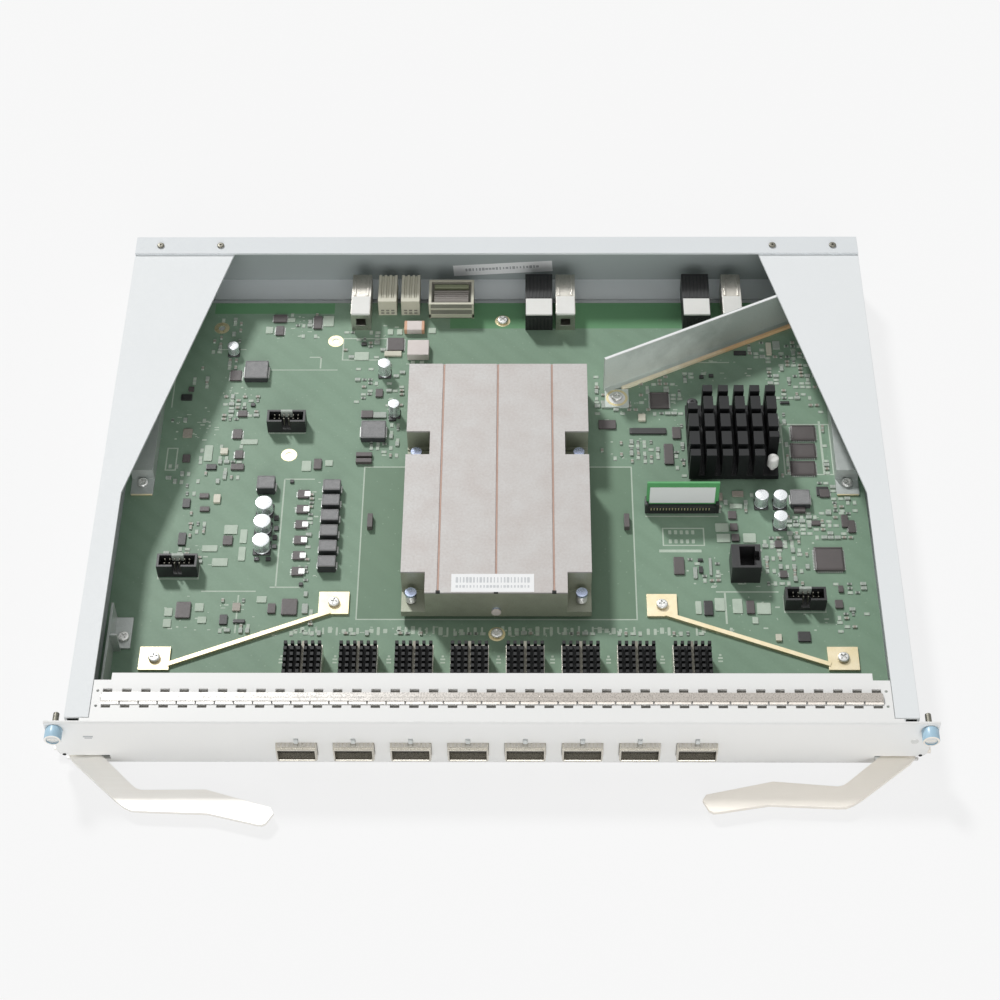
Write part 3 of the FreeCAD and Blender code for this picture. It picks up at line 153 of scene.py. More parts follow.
class Bench:
    """The modelling moves that every sub-assembly uses.  Sizes are in millimetres."""

    @staticmethod
    def clear() -> None:
        """Deselects everything in object mode."""
        if bpy.context.object and bpy.context.object.mode != "OBJECT":
            bpy.ops.object.mode_set(mode="OBJECT")
        bpy.ops.object.select_all(action="DESELECT")

    @staticmethod
    def take(piece: bpy.types.Object) -> None:
        """Makes one object the only selected and active one."""
        Bench.clear()
        piece.select_set(True)
        bpy.context.view_layer.objects.active = piece

    @staticmethod
    def settle(name: str) -> bpy.types.Object:
        """Names the new primitive and puts its place into its mesh."""
        piece = bpy.context.object
        piece.name = piece.data.name = name
        bpy.ops.object.transform_apply(location=True, rotation=True, scale=True)
        return piece

    @staticmethod
    def slab(name: str, box: Extent, soft: float = 0.1, steps: int = 1) -> bpy.types.Object:
        """Makes a softened slab that fills a box.

        Args:
            name: the piece's name.
            box: the space it fills.
            soft: width of its softened edges.
            steps: segments of each softened edge.

        Returns:
            The new object.
        """
        Bench.clear()
        bpy.ops.mesh.primitive_cube_add(size=1, location=Vector(box.middle) * MM)
        bpy.context.object.scale = Vector(box.size) * MM
        piece = Bench.settle(name)
        if soft:
            Bench.soften(piece, min(soft, min(box.size) * 0.45), steps)
        return piece

    @staticmethod
    def turned(name: str, at: Point, radius: float, length: float, axis: Axis = Axis.UP,
               sides: int = 24, soft: float = 0.2, steps: int = 2) -> bpy.types.Object:
        """Makes a turned blank with softened rims.

        Args:
            name: the piece's name.
            at: its centre.
            radius: its radius.
            length: its length along its axis.
            axis: the way it points.
            sides: flats round it.
            soft: width of the softened rims.
            steps: segments of each rim.

        Returns:
            The new object.
        """
        Bench.clear()
        bpy.ops.mesh.primitive_cylinder_add(vertices=sides, radius=radius * MM, depth=length * MM,
                                            location=Vector(at) * MM, rotation=axis.value)
        piece = Bench.settle(name)
        if soft:
            Bench.soften(piece, soft, steps)
        return piece

    @staticmethod
    def modify(piece: bpy.types.Object, kind: str, **settings: object) -> None:
        """Adds one modifier with its settings and applies it."""
        Bench.take(piece)
        modifier = piece.modifiers.new(kind.title(), kind)
        for key, value in settings.items():
            setattr(modifier, key, value)
        bpy.ops.object.modifier_apply(modifier=modifier.name)

    @staticmethod
    def soften(piece: bpy.types.Object, width: float, steps: int = 1) -> None:
        """Rounds the sharp edges of a piece."""
        Bench.modify(piece, "BEVEL", width=width * MM, segments=steps, limit_method="ANGLE",
                     angle_limit=math.radians(40))

    @staticmethod
    def carve(piece: bpy.types.Object, tool: bpy.types.Object) -> None:
        """Cuts the tool's shape out of a piece and throws the tool away."""
        Bench.modify(piece, "BOOLEAN", object=tool, operation="DIFFERENCE", solver="EXACT")
        bpy.data.objects.remove(tool)

    @staticmethod
    def pick(piece: bpy.types.Object, rule: Rule) -> None:
        """Opens a piece for editing with only the faces that follow a rule selected.

        Args:
            piece: the object to open.
            rule: says, from a face's centre in millimetres and its normal, whether it is taken.
        """
        Bench.take(piece)
        bpy.ops.object.mode_set(mode="EDIT")
        bpy.ops.mesh.select_mode(type="FACE")
        bpy.ops.mesh.select_all(action="DESELECT")
        mesh = bmesh.from_edit_mesh(piece.data)
        for face in mesh.faces:
            face.select_set(rule(face.calc_center_median() / MM, face.normal))
        bmesh.update_edit_mesh(piece.data)

    @staticmethod
    def close() -> None:
        """Goes back to object mode."""
        bpy.ops.object.mode_set(mode="OBJECT")

    @staticmethod
    def sink(piece: bpy.types.Object, rule: Rule, rim: float, depth: float) -> None:
        """Insets the chosen faces and pushes them in, or out where the depth is below zero."""
        Bench.pick(piece, rule)
        bpy.ops.mesh.inset(thickness=rim * MM, depth=0)
        bpy.ops.mesh.inset(thickness=0.02 * rim * MM, depth=-depth * MM)
        Bench.close()

    @staticmethod
    def frame_of(name: str, box: Extent, rim: float) -> bpy.types.Object:
        """Makes a flat open frame that follows a box's outline.

        Args:
            name: the piece's name.
            box: outside of the frame.
            rim: width of its bars.

        Returns:
            The new object.
        """
        Bench.clear()
        bpy.ops.mesh.primitive_plane_add(size=1, location=Vector((*box.middle[:2], box.z0)) * MM)
        bpy.context.object.scale = Vector(box.size) * MM
        piece = Bench.settle(name)
        Bench.pick(piece, whole)
        bpy.ops.mesh.inset(thickness=rim * MM, depth=0)
        bpy.ops.mesh.delete(type="FACE")
        Bench.close()
        Bench.modify(piece, "SOLIDIFY", thickness=(box.z1 - box.z0) * MM, offset=1)
        return piece

    @staticmethod
    def smooth(piece: bpy.types.Object, angle: float = 35) -> None:
        """Shades a piece smooth across shallow edges."""
        Bench.take(piece)
        bpy.ops.object.shade_smooth_by_angle(angle=math.radians(angle))

    @staticmethod
    def paint(piece: bpy.types.Object, finish: bpy.types.Material, rule: Optional[Rule] = None) -> None:
        """Gives a piece, or only the faces that follow a rule, a finish."""
        if finish.name not in piece.data.materials:
            piece.data.materials.append(finish)
        index = piece.data.materials.find(finish.name)
        for face in piece.data.polygons:
            if rule is None or rule(face.center / MM, face.normal):
                face.material_index = index

    @staticmethod
    def merge(pieces: Sequence[bpy.types.Object], name: str) -> bpy.types.Object:
        """Joins pieces into one object."""
        Bench.clear()
        for piece in pieces:
            piece.select_set(True)
        bpy.context.view_layer.objects.active = pieces[0]
        if len(pieces) > 1:
            bpy.ops.object.join()
        pieces[0].name = pieces[0].data.name = name
        return pieces[0]

    @staticmethod
    def stamp(model: bpy.types.Object, places: Iterable[Matrix], name: str) -> bpy.types.Object:
        """Copies a finished model to many places, each copy with its own mesh, and joins them.

        Args:
            model: modelled once about the origin; it is thrown away afterwards.
            places: where each copy goes, in millimetres.
            name: the joined piece's name.

        Returns:
            The joined object.
        """
        grow, shrink = Matrix.Scale(MM, 4), Matrix.Scale(1 / MM, 4)
        copies = []
        for place in places:
            copy = model.copy()
            copy.data = model.data.copy()
            copy.data.transform(grow @ place @ shrink)
            bpy.context.collection.objects.link(copy)
            copies.append(copy)
        bpy.data.objects.remove(model)
        return Bench.merge(copies, name)


def at(x: float, y: float, z: float = BOARD_TOP, turn: float = 0.0,
       scale: Tuple[float, float, float] = (1, 1, 1)) -> Matrix:
    """Gives the place of one copy.

    Args:
        x: across.
        y: back.
        z: height of the model's foot.
        turn: turn about the upright axis, in degrees.
        scale: stretch along the model's own axes.

    Returns:
        The placing matrix, in millimetres.
    """
    return (Matrix.Translation((x, y, z)) @ Matrix.Rotation(math.radians(turn), 4, "Z")
            @ Matrix.Diagonal((*scale, 1)))


def mount(piece: bpy.types.Object, slot: str, *stands_for: str, body: str = CHASSIS) -> bpy.types.Object:
    """Lets a finished piece ride on a body and reports it.

    Args:
        piece: the finished piece.
        slot: not used.
        stands_for: CAD nodes that it replaces.
        body: the body that carries it.

    Returns:
        The same piece.
    """
    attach(piece, body)
    if stands_for:
        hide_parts(*stands_for)
    log.info("piece %s: %d faces on %s", piece.name, len(piece.data.polygons), body)
    return piece


# ---------------------------------------------------------------- finishes

def colour(code: str) -> Tuple[float, float, float, float]:
    """Turns an sRGB hex value to linear red, green, blue and one."""
    parts = [int(code[i:i + 2], 16) / 255 for i in (1, 3, 5)]
    linear = [c / 12.92 if c <= 0.04045 else ((c + 0.055) / 1.055) ** 2.4 for c in parts]
    return (linear[0], linear[1], linear[2], 1.0)


def add_node(tree: bpy.types.NodeTree, kind: str, inputs: Optional[Dict[object, object]] = None,
             **settings: object) -> bpy.types.Node:
    """Adds a node with its settings, values and links.

    Args:
        tree: the material's node tree.
        kind: the node's type name.
        inputs: values or output sockets by input name or number.
        settings: the node's own properties.

    Returns:
        The new node.
    """
    node = tree.nodes.new(kind)
    for key, value in settings.items():
        setattr(node, key, value)
    for key, value in (inputs or {}).items():
        if isinstance(value, bpy.types.NodeSocket):
            tree.links.new(value, node.inputs[key])
        else:
            node.inputs[key].default_value = value
    return node


class Grain(Enum):
    """Way that brush lines run, as the pattern's stretch along each axis."""

    NONE = (1.0, 1.0, 1.0)
    ACROSS = (0.02, 1.0, 1.0)
    BACK = (1.0, 0.02, 1.0)


@dataclass(frozen=True)
class Finish:
    """A real surface finish, drawn from its tone, patches of a second tone, and fine grain."""

    name: str
    tone: str
    second: str
    metallic: float = 0.0
    rough: float = 0.5
    rough_swing: float = 0.1
    patch_mm: float = 25.0
    patch: float = 0.5
    grain_mm: float = 0.6
    relief: float = 0.1
    grain: Grain = Grain.NONE
    edge_mm: float = 0.0
    coat: float = 0.0
    shine: float = 0.5

    def material(self) -> bpy.types.Material:
        """Builds the node material of this finish."""
        made = bpy.data.materials.new(self.name)
        made.use_nodes = True
        tree = made.node_tree
        shader = tree.nodes["Principled BSDF"]
        place = self.coordinates(tree)
        patches = add_node(tree, "ShaderNodeTexNoise", {"Vector": place, "Scale": 1000 / self.patch_mm,
                                                        "Detail": 4.0, "Roughness": 0.6})
        fine = self.fine_pattern(tree, place)
        tree.links.new(self.tones(tree, place, patches.outputs["Fac"], fine), shader.inputs["Base Color"])
        swing = add_node(tree, "ShaderNodeMapRange", {
            "Value": fine, "From Min": 0.3, "From Max": 0.7,
            "To Min": max(0.03, self.rough - self.rough_swing),
            "To Max": min(1, self.rough + self.rough_swing)})
        tree.links.new(swing.outputs[0], shader.inputs["Roughness"])
        bump = add_node(tree, "ShaderNodeBump", {"Strength": self.relief, "Distance": 0.1 * MM,
                                                 "Height": fine})
        if self.edge_mm:
            edge = add_node(tree, "ShaderNodeBevel", {"Radius": self.edge_mm * MM}, samples=4)
            tree.links.new(edge.outputs[0], bump.inputs["Normal"])
        tree.links.new(bump.outputs[0], shader.inputs["Normal"])
        shader.inputs["Metallic"].default_value = self.metallic
        shader.inputs["Coat Weight"].default_value = self.coat
        shader.inputs["Specular IOR Level"].default_value = self.shine
        return made

    def coordinates(self, tree: bpy.types.NodeTree) -> bpy.types.NodeSocket:
        """Gives the pattern's coordinates."""
        return add_node(tree, "ShaderNodeTexCoord").outputs["Object"]

    def fine_pattern(self, tree: bpy.types.NodeTree, place: bpy.types.NodeSocket) -> bpy.types.NodeSocket:
        """Gives the grain, stretched along the brush lines where there are any."""
        drawn = add_node(tree, "ShaderNodeMapping", {"Vector": place, "Scale": self.grain.value})
        noise = add_node(tree, "ShaderNodeTexNoise",
                         {"Vector": drawn.outputs[0], "Scale": 1000 / self.grain_mm,
                                                      "Detail": 3.0})
        return noise.outputs["Fac"]

    def tones(self, tree: bpy.types.NodeTree, place: bpy.types.NodeSocket, patches: bpy.types.NodeSocket,
              fine: bpy.types.NodeSocket) -> bpy.types.NodeSocket:
        """Mixes the two tones by the patches and a little of the grain.

        Args:
            tree: the material's node tree.
            place: the pattern's coordinates.
            patches: the patch pattern.
            fine: the grain pattern.

        Returns:
            The colour socket.
        """
        both = add_node(tree, "ShaderNodeMath", {0: fine, 1: 0.5, 2: patches}, operation="MULTIPLY_ADD")
        share = add_node(tree, "ShaderNodeMapRange", {"Value": both.outputs[0], "From Min": 0.45,
                                                      "From Max": 1.05, "To Min": 0.0, "To Max": self.patch})
        return mix(tree, share.outputs[0], colour(self.tone), colour(self.second))


def mix(tree: bpy.types.NodeTree, share: object, first: object, second: object) -> bpy.types.NodeSocket:
    """Mixes two colours by a share and gives the colour socket."""
    node = add_node(tree, "ShaderNodeMix", {0: share, 6: first, 7: second}, data_type="RGBA")
    return node.outputs[2]


@dataclass(frozen=True)
class SolderMask(Finish):
    """Green solder mask over copper: broad pours, faint tracks and small vias show through it."""

    via_mm: float = 3.6
    track_mm: float = 1.3

    def tones(self, tree: bpy.types.NodeTree, place: bpy.types.NodeSocket, patches: bpy.types.NodeSocket,
              fine: bpy.types.NodeSocket) -> bpy.types.NodeSocket:
        """Lays vias and tracks over the two greens."""
        ground = super().tones(tree, place, patches, fine)
        cells = add_node(tree, "ShaderNodeTexVoronoi", {"Vector": place, "Scale": 1000 / self.via_mm,
                                                        "Randomness": 0.9})
        vias = add_node(tree, "ShaderNodeMapRange", {"Value": cells.outputs["Distance"], "From Min": 0.10,
                                                     "From Max": 0.14, "To Min": 0.32, "To Max": 0.0})
        tracks = add_node(tree, "ShaderNodeTexWave", {"Vector": place, "Scale": 1000 / self.track_mm / 20,
                                                      "Distortion": 1.5, "Detail": 1.0, "Detail Scale": 0.4},
                          bands_direction="DIAGONAL")
        lines = add_node(tree, "ShaderNodeMapRange", {"Value": tracks.outputs["Fac"], "From Min": 0.4,
                                                      "From Max": 1.0, "To Min": 0.0, "To Max": 0.14})
        lined = mix(tree, lines.outputs[0], ground, colour("#6C836E"))
        return mix(tree, vias.outputs[0], lined, colour("#A3B7A2"))


@dataclass(frozen=True)
class FadingFinish(Finish):
    """A finish whose tone fades evenly along one axis; on the port backs and the bay sheet the fade is
    painted shade.
    """

    far_tone: str = "#A69E95"
    axis: int = 0
    from_mm: float = -100.0
    to_mm: float = 60.0

    def tones(self, tree: bpy.types.NodeTree, place: bpy.types.NodeSocket, patches: bpy.types.NodeSocket,
              fine: bpy.types.NodeSocket) -> bpy.types.NodeSocket:
        """Fades the surface towards its far tone along the axis."""
        near = super().tones(tree, place, patches, fine)
        across = add_node(tree, "ShaderNodeSeparateXYZ", {0: place})
        wander = add_node(tree, "ShaderNodeMath", {0: patches, 1: 0.08, 2: across.outputs[self.axis]},
                          operation="MULTIPLY_ADD")
        share = add_node(tree, "ShaderNodeMapRange",
                         {"Value": wander.outputs[0], "From Min": self.from_mm * MM,
                                                      "From Max": self.to_mm * MM, "To Min": 0.0,
                                                      "To Max": 0.8})
        return mix(tree, share.outputs[0], near, colour(self.far_tone))


def finishes() -> Dict[str, bpy.types.Material]:
    """Builds every finish once, by the short name that the sub-assemblies use."""
    made = {
        # Fine powder coat on sheet steel: even, soft sheen, no direction.
        "panel": Finish("powder_coated_steel", "#EDEDEB", "#E5E6E5", rough=0.42, patch_mm=40, patch=0.4,
                        grain_mm=0.5, relief=0.06, edge_mm=0.3),
        # Smooth light grey paint on the box: slightly cooler and flatter.
        "box": Finish("painted_box_steel", "#E6E9EA", "#DDE1E2", rough=0.6, patch_mm=60, patch=0.4,
                      grain_mm=0.7, relief=0.05, edge_mm=0.3),
        "bar": Finish("painted_bar_steel", "#DDE1E3", "#D3D8DA", rough=0.6, patch_mm=60, patch=0.4,
                      grain_mm=0.7, relief=0.05, edge_mm=0.3),
        # Zinc plated sheet: grey with a faint patchwork.
        "zinc": Finish("zinc_plated_sheet", "#B4B7B5", "#989C9A", metallic=1.0, rough=0.38, patch_mm=6,
                       patch=0.5, grain_mm=0.8, relief=0.1, edge_mm=0.15),
        # Satin nickel on the levers: soft warm sheen, fine brush lines, creamier to the right.
        "nickel": FadingFinish("satin_nickel", "#F4F2ED", "#ECE8E1", metallic=0.75, rough=0.42,
                               rough_swing=0.05,
                            patch_mm=30, patch=0.6, grain_mm=0.9, relief=0.03, grain=Grain.ACROSS,
                            edge_mm=0.25, far_tone="#EDE7DD", from_mm=-60, to_mm=120),
        # Spring strip of the gasket: pale plate, duller to the right.
        "gasket": FadingFinish("plated_spring_strip", "#E0DEDA", "#D6D3CE", metallic=0.5, rough=0.3,
                            patch_mm=12, patch=0.6, grain_mm=0.8, relief=0.08, edge_mm=0.1),
        # Solder mask: soft sheen, greens that change with the copper under it.
        "mask": SolderMask("green_solder_mask", "#87A08B", "#7A9580", rough=0.42, rough_swing=0.06,
                           patch_mm=45, patch=0.8, grain_mm=1.4, relief=0.05, shine=0.2),
        "mask_dark": SolderMask("solder_mask_over_plane", "#768F79", "#6F8873", rough=0.42, rough_swing=0.06,
                                patch_mm=45, patch=0.8, grain_mm=1.4, relief=0.05, shine=0.2),
        # Painted shadow of the rear bar on the mask, along the rear edge: a fuller, darker green.
        "rear_shadow_mask": Finish("mask_painted_rear_shadow", "#6A9971", "#608E67", rough=0.4, patch_mm=30,
                            patch=0.6, shine=0.2),
        # Thinner, fresher mask of the memory module: a livelier green.
        "mask_bright": Finish("bright_solder_mask", "#5FA86C", "#519A60", rough=0.4, patch_mm=8, patch=0.5),
        # Screen-printed epoxy ink: flat off-white, thin enough to let green through.
        "silk": Finish("screen_print_ink", "#BFCCBD", "#A9BAA9", rough=0.7, patch_mm=4, patch=0.7),
        # Immersion gold pads: pale cream gold.
        "gold": Finish("immersion_gold", "#E9DDB8", "#D3C08C", metallic=0.9, rough=0.35, patch_mm=3,
                       patch=0.6),
        # Yellow passivated bars: cream with a gold cast.
        "passivate": Finish("yellow_passivated_zinc", "#E6DBC0", "#D2C190", metallic=0.7, rough=0.4,
                            patch_mm=9, patch=0.7, edge_mm=0.15),
        # Gold plate on the baffle's foot: cream, turning amber to the right.
        "foot_gold": FadingFinish("gold_plated_foot", "#FFF6DE", "#F8EAC4", rough=0.4, patch_mm=9, patch=0.4,
                               far_tone="#D9A870", from_mm=130, to_mm=180),
        # Bead blasted nickel plate on the heat sink's cover: matt warm grey with faint pink stains.
        "cover": Finish("blasted_nickel_plate", "#B6B5B3", "#A9A19D", metallic=0.3, rough=0.55,
                        rough_swing=0.08, patch_mm=16, patch=0.8, grain_mm=1.2, relief=0.06, edge_mm=0.15),
        # Oxidised fins: dull olive grey, no polish.
        "fin": Finish("oxidised_fin_metal", "#A2A695", "#8A8E7E", metallic=0.4, rough=0.5, patch_mm=5,
                      patch=0.6),
        # Bare copper at the bottom of the cover's grooves: pinkish brown.
        "copper": Finish("tarnished_copper", "#A88D80", "#93776B", metallic=0.3, rough=0.5, patch_mm=6,
                         patch=0.7),
        # Black anodised aluminium: deep, matt, hard edges catch a little light.
        "anodised": Finish("black_anodised_aluminium", "#131415", "#1C1E1F", metallic=0.2, rough=0.5,
                           shine=0.35, patch_mm=8, patch=0.6, grain_mm=0.5, relief=0.1, edge_mm=0.15),
        # Plain sheet of the air baffle: cool grey with a green cast, darker to the right.
        "baffle": FadingFinish("plain_aluminium_sheet", "#DCE4DE", "#C2CBC4", rough=0.35, patch_mm=22,
                               patch=0.7,
                            grain_mm=0.9, relief=0.05, far_tone="#8A948D", from_mm=122, to_mm=172),
        # Tin plated cage sheet: warm bright grey.
        "tin": Finish("tin_plated_sheet", "#D6D2C8", "#BDB8AC", metallic=1.0, rough=0.3, patch_mm=7,
                      patch=0.6, edge_mm=0.1),
        "dark_tin": Finish("tarnished_tin", "#77756C", "#5F5D55", metallic=0.9, rough=0.45, patch_mm=4,
                           patch=0.6),
        # Bright die casting of the guide modules.
        "casting": Finish("zinc_die_casting", "#C8C5BD", "#B3AFA6", metallic=1.0, rough=0.34, patch_mm=6,
                          patch=0.6, grain_mm=0.6, relief=0.15, edge_mm=0.2),
        # Moulded parts: glass-filled black, cream and white nylon.
        "black": Finish("black_moulded_nylon", "#1D1E1F", "#29292A", rough=0.42, patch_mm=6, patch=0.6,
                        edge_mm=0.15),
        "cream": Finish("cream_moulded_nylon", "#CFCDBC", "#C2BEA9", rough=0.45, patch_mm=6, patch=0.5,
                        edge_mm=0.15),
        "white": Finish("white_moulded_nylon", "#E6E6E2", "#DADAD4", rough=0.4, patch_mm=6, patch=0.5,
                        edge_mm=0.15),
        "drab": Finish("grey_moulded_nylon", "#8B897F", "#7A786E", rough=0.5, patch_mm=5, patch=0.6),
        "olive": Finish("olive_key_strip", "#8D9377", "#7E8469", rough=0.5, patch_mm=5, patch=0.5),
        "wafer": Finish("grey_wafer_block", "#97928C", "#868079", rough=0.5, patch_mm=5, patch=0.6),
        # Painted shade under the flange's slots: a mid grey sheet standing for the dark seen through them,
        # never lit from above.
        "liner": Finish("slot_painted_shade", "#8F8D88", "#7F7D78", rough=0.7, patch_mm=6, patch=0.6),
        # Cage collar: warm beige. Grey back in each port mouth: painted shade, going dark upwards under the
        # cage roof.
        "collar": Finish("sprung_cage_collar", "#D6D2CA", "#C6C1B8", rough=0.6, patch_mm=8, patch=0.5,
                         relief=0.0),
        "port": FadingFinish("port_mouth_painted_shade", "#B9B6AC", "#AAA79E", rough=0.7, patch_mm=6, patch=0.5,
                             relief=0.0, far_tone="#474643", axis=2, from_mm=9, to_mm=15),
        "pale_block": Finish("pale_moulded_resin", "#DCD3CF", "#CFC4BE", rough=0.5, patch_mm=4, patch=0.5,
                             edge_mm=0.15),
        "amber": Finish("amber_end_cap", "#D6A88A", "#C39272", rough=0.5, patch_mm=3, patch=0.5),
        # Moulded epoxy of the chips: warm dark grey, matt.
        "epoxy": Finish("moulded_epoxy", "#56504F", "#4A4646", rough=0.5, patch_mm=5, patch=0.6, edge_mm=0.1),
        "epoxy_black": Finish("black_epoxy", "#262626", "#313131", rough=0.45, patch_mm=4, patch=0.6),
        # Pressed iron powder of the inductors: mid grey top with dry streaks.
        "powder": Finish("pressed_iron_powder", "#8C8C8C", "#757677", rough=0.6, patch_mm=2.5, patch=0.9,
                         grain_mm=0.7, relief=0.25),
        "powder_dark": Finish("dark_iron_powder", "#2E2F31", "#3B3C3E", rough=0.6, patch_mm=2.5, patch=0.8),
        # Tinned leads and ends: small, pale and soft, never sparkling.
        "solder": Finish("matt_tinned_metal", "#CDCFCC", "#B4B7B4", metallic=0.7, rough=0.45, patch_mm=1.5,
                         patch=0.6),
        # Fired ends of passives: pale grey green, matt.
        "fired": Finish("fired_end_metal", "#B4BDB3", "#9CA59B", rough=0.55, patch_mm=2, patch=0.6),
        "resin": Finish("grey_resin_body", "#6C736C", "#5C635C", rough=0.55, patch_mm=2, patch=0.6),
        # Capacitor can: spun aluminium, very bright.
        "can": Finish("spun_aluminium", "#E9ECEE", "#D5DADC", metallic=0.8, rough=0.3, patch_mm=3, patch=0.4),
        "ceramic": Finish("ceramic_body", "#A39D92", "#8E877B", rough=0.5, patch_mm=1.2, patch=0.7),
        "ceramic_grey": Finish("grey_ceramic_body", "#A9B2A9", "#949C94", rough=0.5, patch_mm=1.2, patch=0.7),
        "steel": Finish("bright_plated_steel", "#E2E2DF", "#CBCCCA", metallic=0.75, rough=0.35, patch_mm=2,
                        patch=0.6, edge_mm=0.1),
        # Sleeve of the captive screws and passivated screw heads: pale blue, satin.
        "blue": Finish("light_blue_sleeve", "#ABCBDD", "#98BCD2", rough=0.35, patch_mm=4, patch=0.5,
                       edge_mm=0.2),
        "blued": Finish("blue_passivated_steel", "#C6CFE6", "#A3B2D6", metallic=0.9, rough=0.3, patch_mm=2,
                        patch=0.6),
        # Paper label with generic print.
        "label": Finish("white_label_film", "#F0F1F1", "#E9EAEA", rough=0.5, patch_mm=8, patch=0.4),
        "ink_pale": Finish("pale_grey_print", "#CBCED0", "#BFC2C4", rough=0.6, patch_mm=1.0, patch=0.6),
        "ink": Finish("grey_print", "#B4B6B8", "#A4A6A8", rough=0.6, patch_mm=1.0, patch=0.6),
        # Painted shade on a sheet inside the bay: greyer than the box paint and darkening upwards, for the
        # shade under the fold.
        "bay": FadingFinish("bay_painted_shade", "#D3DADC", "#C8CFD1", rough=0.6, patch_mm=40, patch=0.5,
                         far_tone="#8C9593", axis=2, from_mm=4, to_mm=22),
        "dark": Finish("unlit_recess", "#141514", "#1C1D1C", rough=0.8, patch_mm=2, patch=0.5),
        "lens": Finish("cloudy_acrylic", "#D5D9D8", "#C6CBCA", rough=0.25, patch_mm=3, patch=0.5),
        "rail": Finish("plated_rail_steel", "#C4C9C6", "#A9AFAD", metallic=0.5, rough=0.42, patch_mm=8,
                       patch=0.6, edge_mm=0.15),
    }
    return {name: finish.material() for name, finish in made.items()}


DRESS = {
    "front_panel": "panel", "gasket_strip": "gasket", "light_pipes": "lens", "bottom_tray": "zinc",
    "corner_bracket": "rail", "box_floor": "box", "box_side_left": "box", "box_side_right": "box",
    "box_rear_bar": "bar", "box_rivets": "steel", "lever_left": "nickel", "lever_right": "nickel",
    "lever_pins": "steel", "board_screws": "steel", "heatsink_screws": "blued", "heatsink_springs": "steel",
    "thumbscrew_left": "blue", "thumbscrew_right": "blue", "main_board": "mask",
    "memory_module": "mask_bright",
    "side_rail_left": "rail", "side_rail_right": "rail", "stiffener_left": "passivate",
    "stiffener_right": "passivate", "air_baffle": "baffle", "heatsink_base": "fin", "heatsink_fins": "fin",
    "heatsink_cover": "cover", "switch_chip": "epoxy_black", "cpu_chip": "epoxy_black", "chips": "epoxy",
    "cpu_heatsink": "anodised", "push_pins": "white", "cage_clips": "dark_tin", "port_connectors": "black",
    "signal_connectors": "black", "box_headers": "black", "console_jack": "black", "memory_socket": "black",
    "power_connectors": "cream", "backplane_header": "drab", "guide_modules": "casting",
    "inductors": "powder", "capacitors": "can",
}


def dress_solids(made: Dict[str, bpy.types.Material]) -> None:
    """Gives every CAD node its finish."""
    for name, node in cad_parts.items():
        if name.startswith("cage_heatsink"):
            finish = made["anodised"]
        elif name.startswith("port_cage"):
            finish = made["tin"]
        else:
            finish = made[DRESS[name]]
        if not node.material_slots:
            node.data.materials.append(finish)
        for slot in node.material_slots:
            slot.material = finish
        log.info("solid %s wears %s", name, finish.name)


@dataclass(frozen=True)
class SubAssembly:
    """What every sub-assembly has: the finishes by their short names."""

    made: Dict[str, bpy.types.Material]

    def hand_over(self, piece: bpy.types.Object, finish: str, slot: str, *stands_for: str,
                  body: str = CHASSIS) -> None:
        """Gives a piece one finish all over and mounts it.

        Args:
            piece: the finished piece.
            finish: the finish's short name.
            slot: passed on to mount.
            stands_for: CAD nodes that it replaces.
            body: the body that carries it.
        """
        Bench.paint(piece, self.made[finish])
        mount(piece, slot, *stands_for, body=body)


# ---------------------------------------------------------------- board print and pads

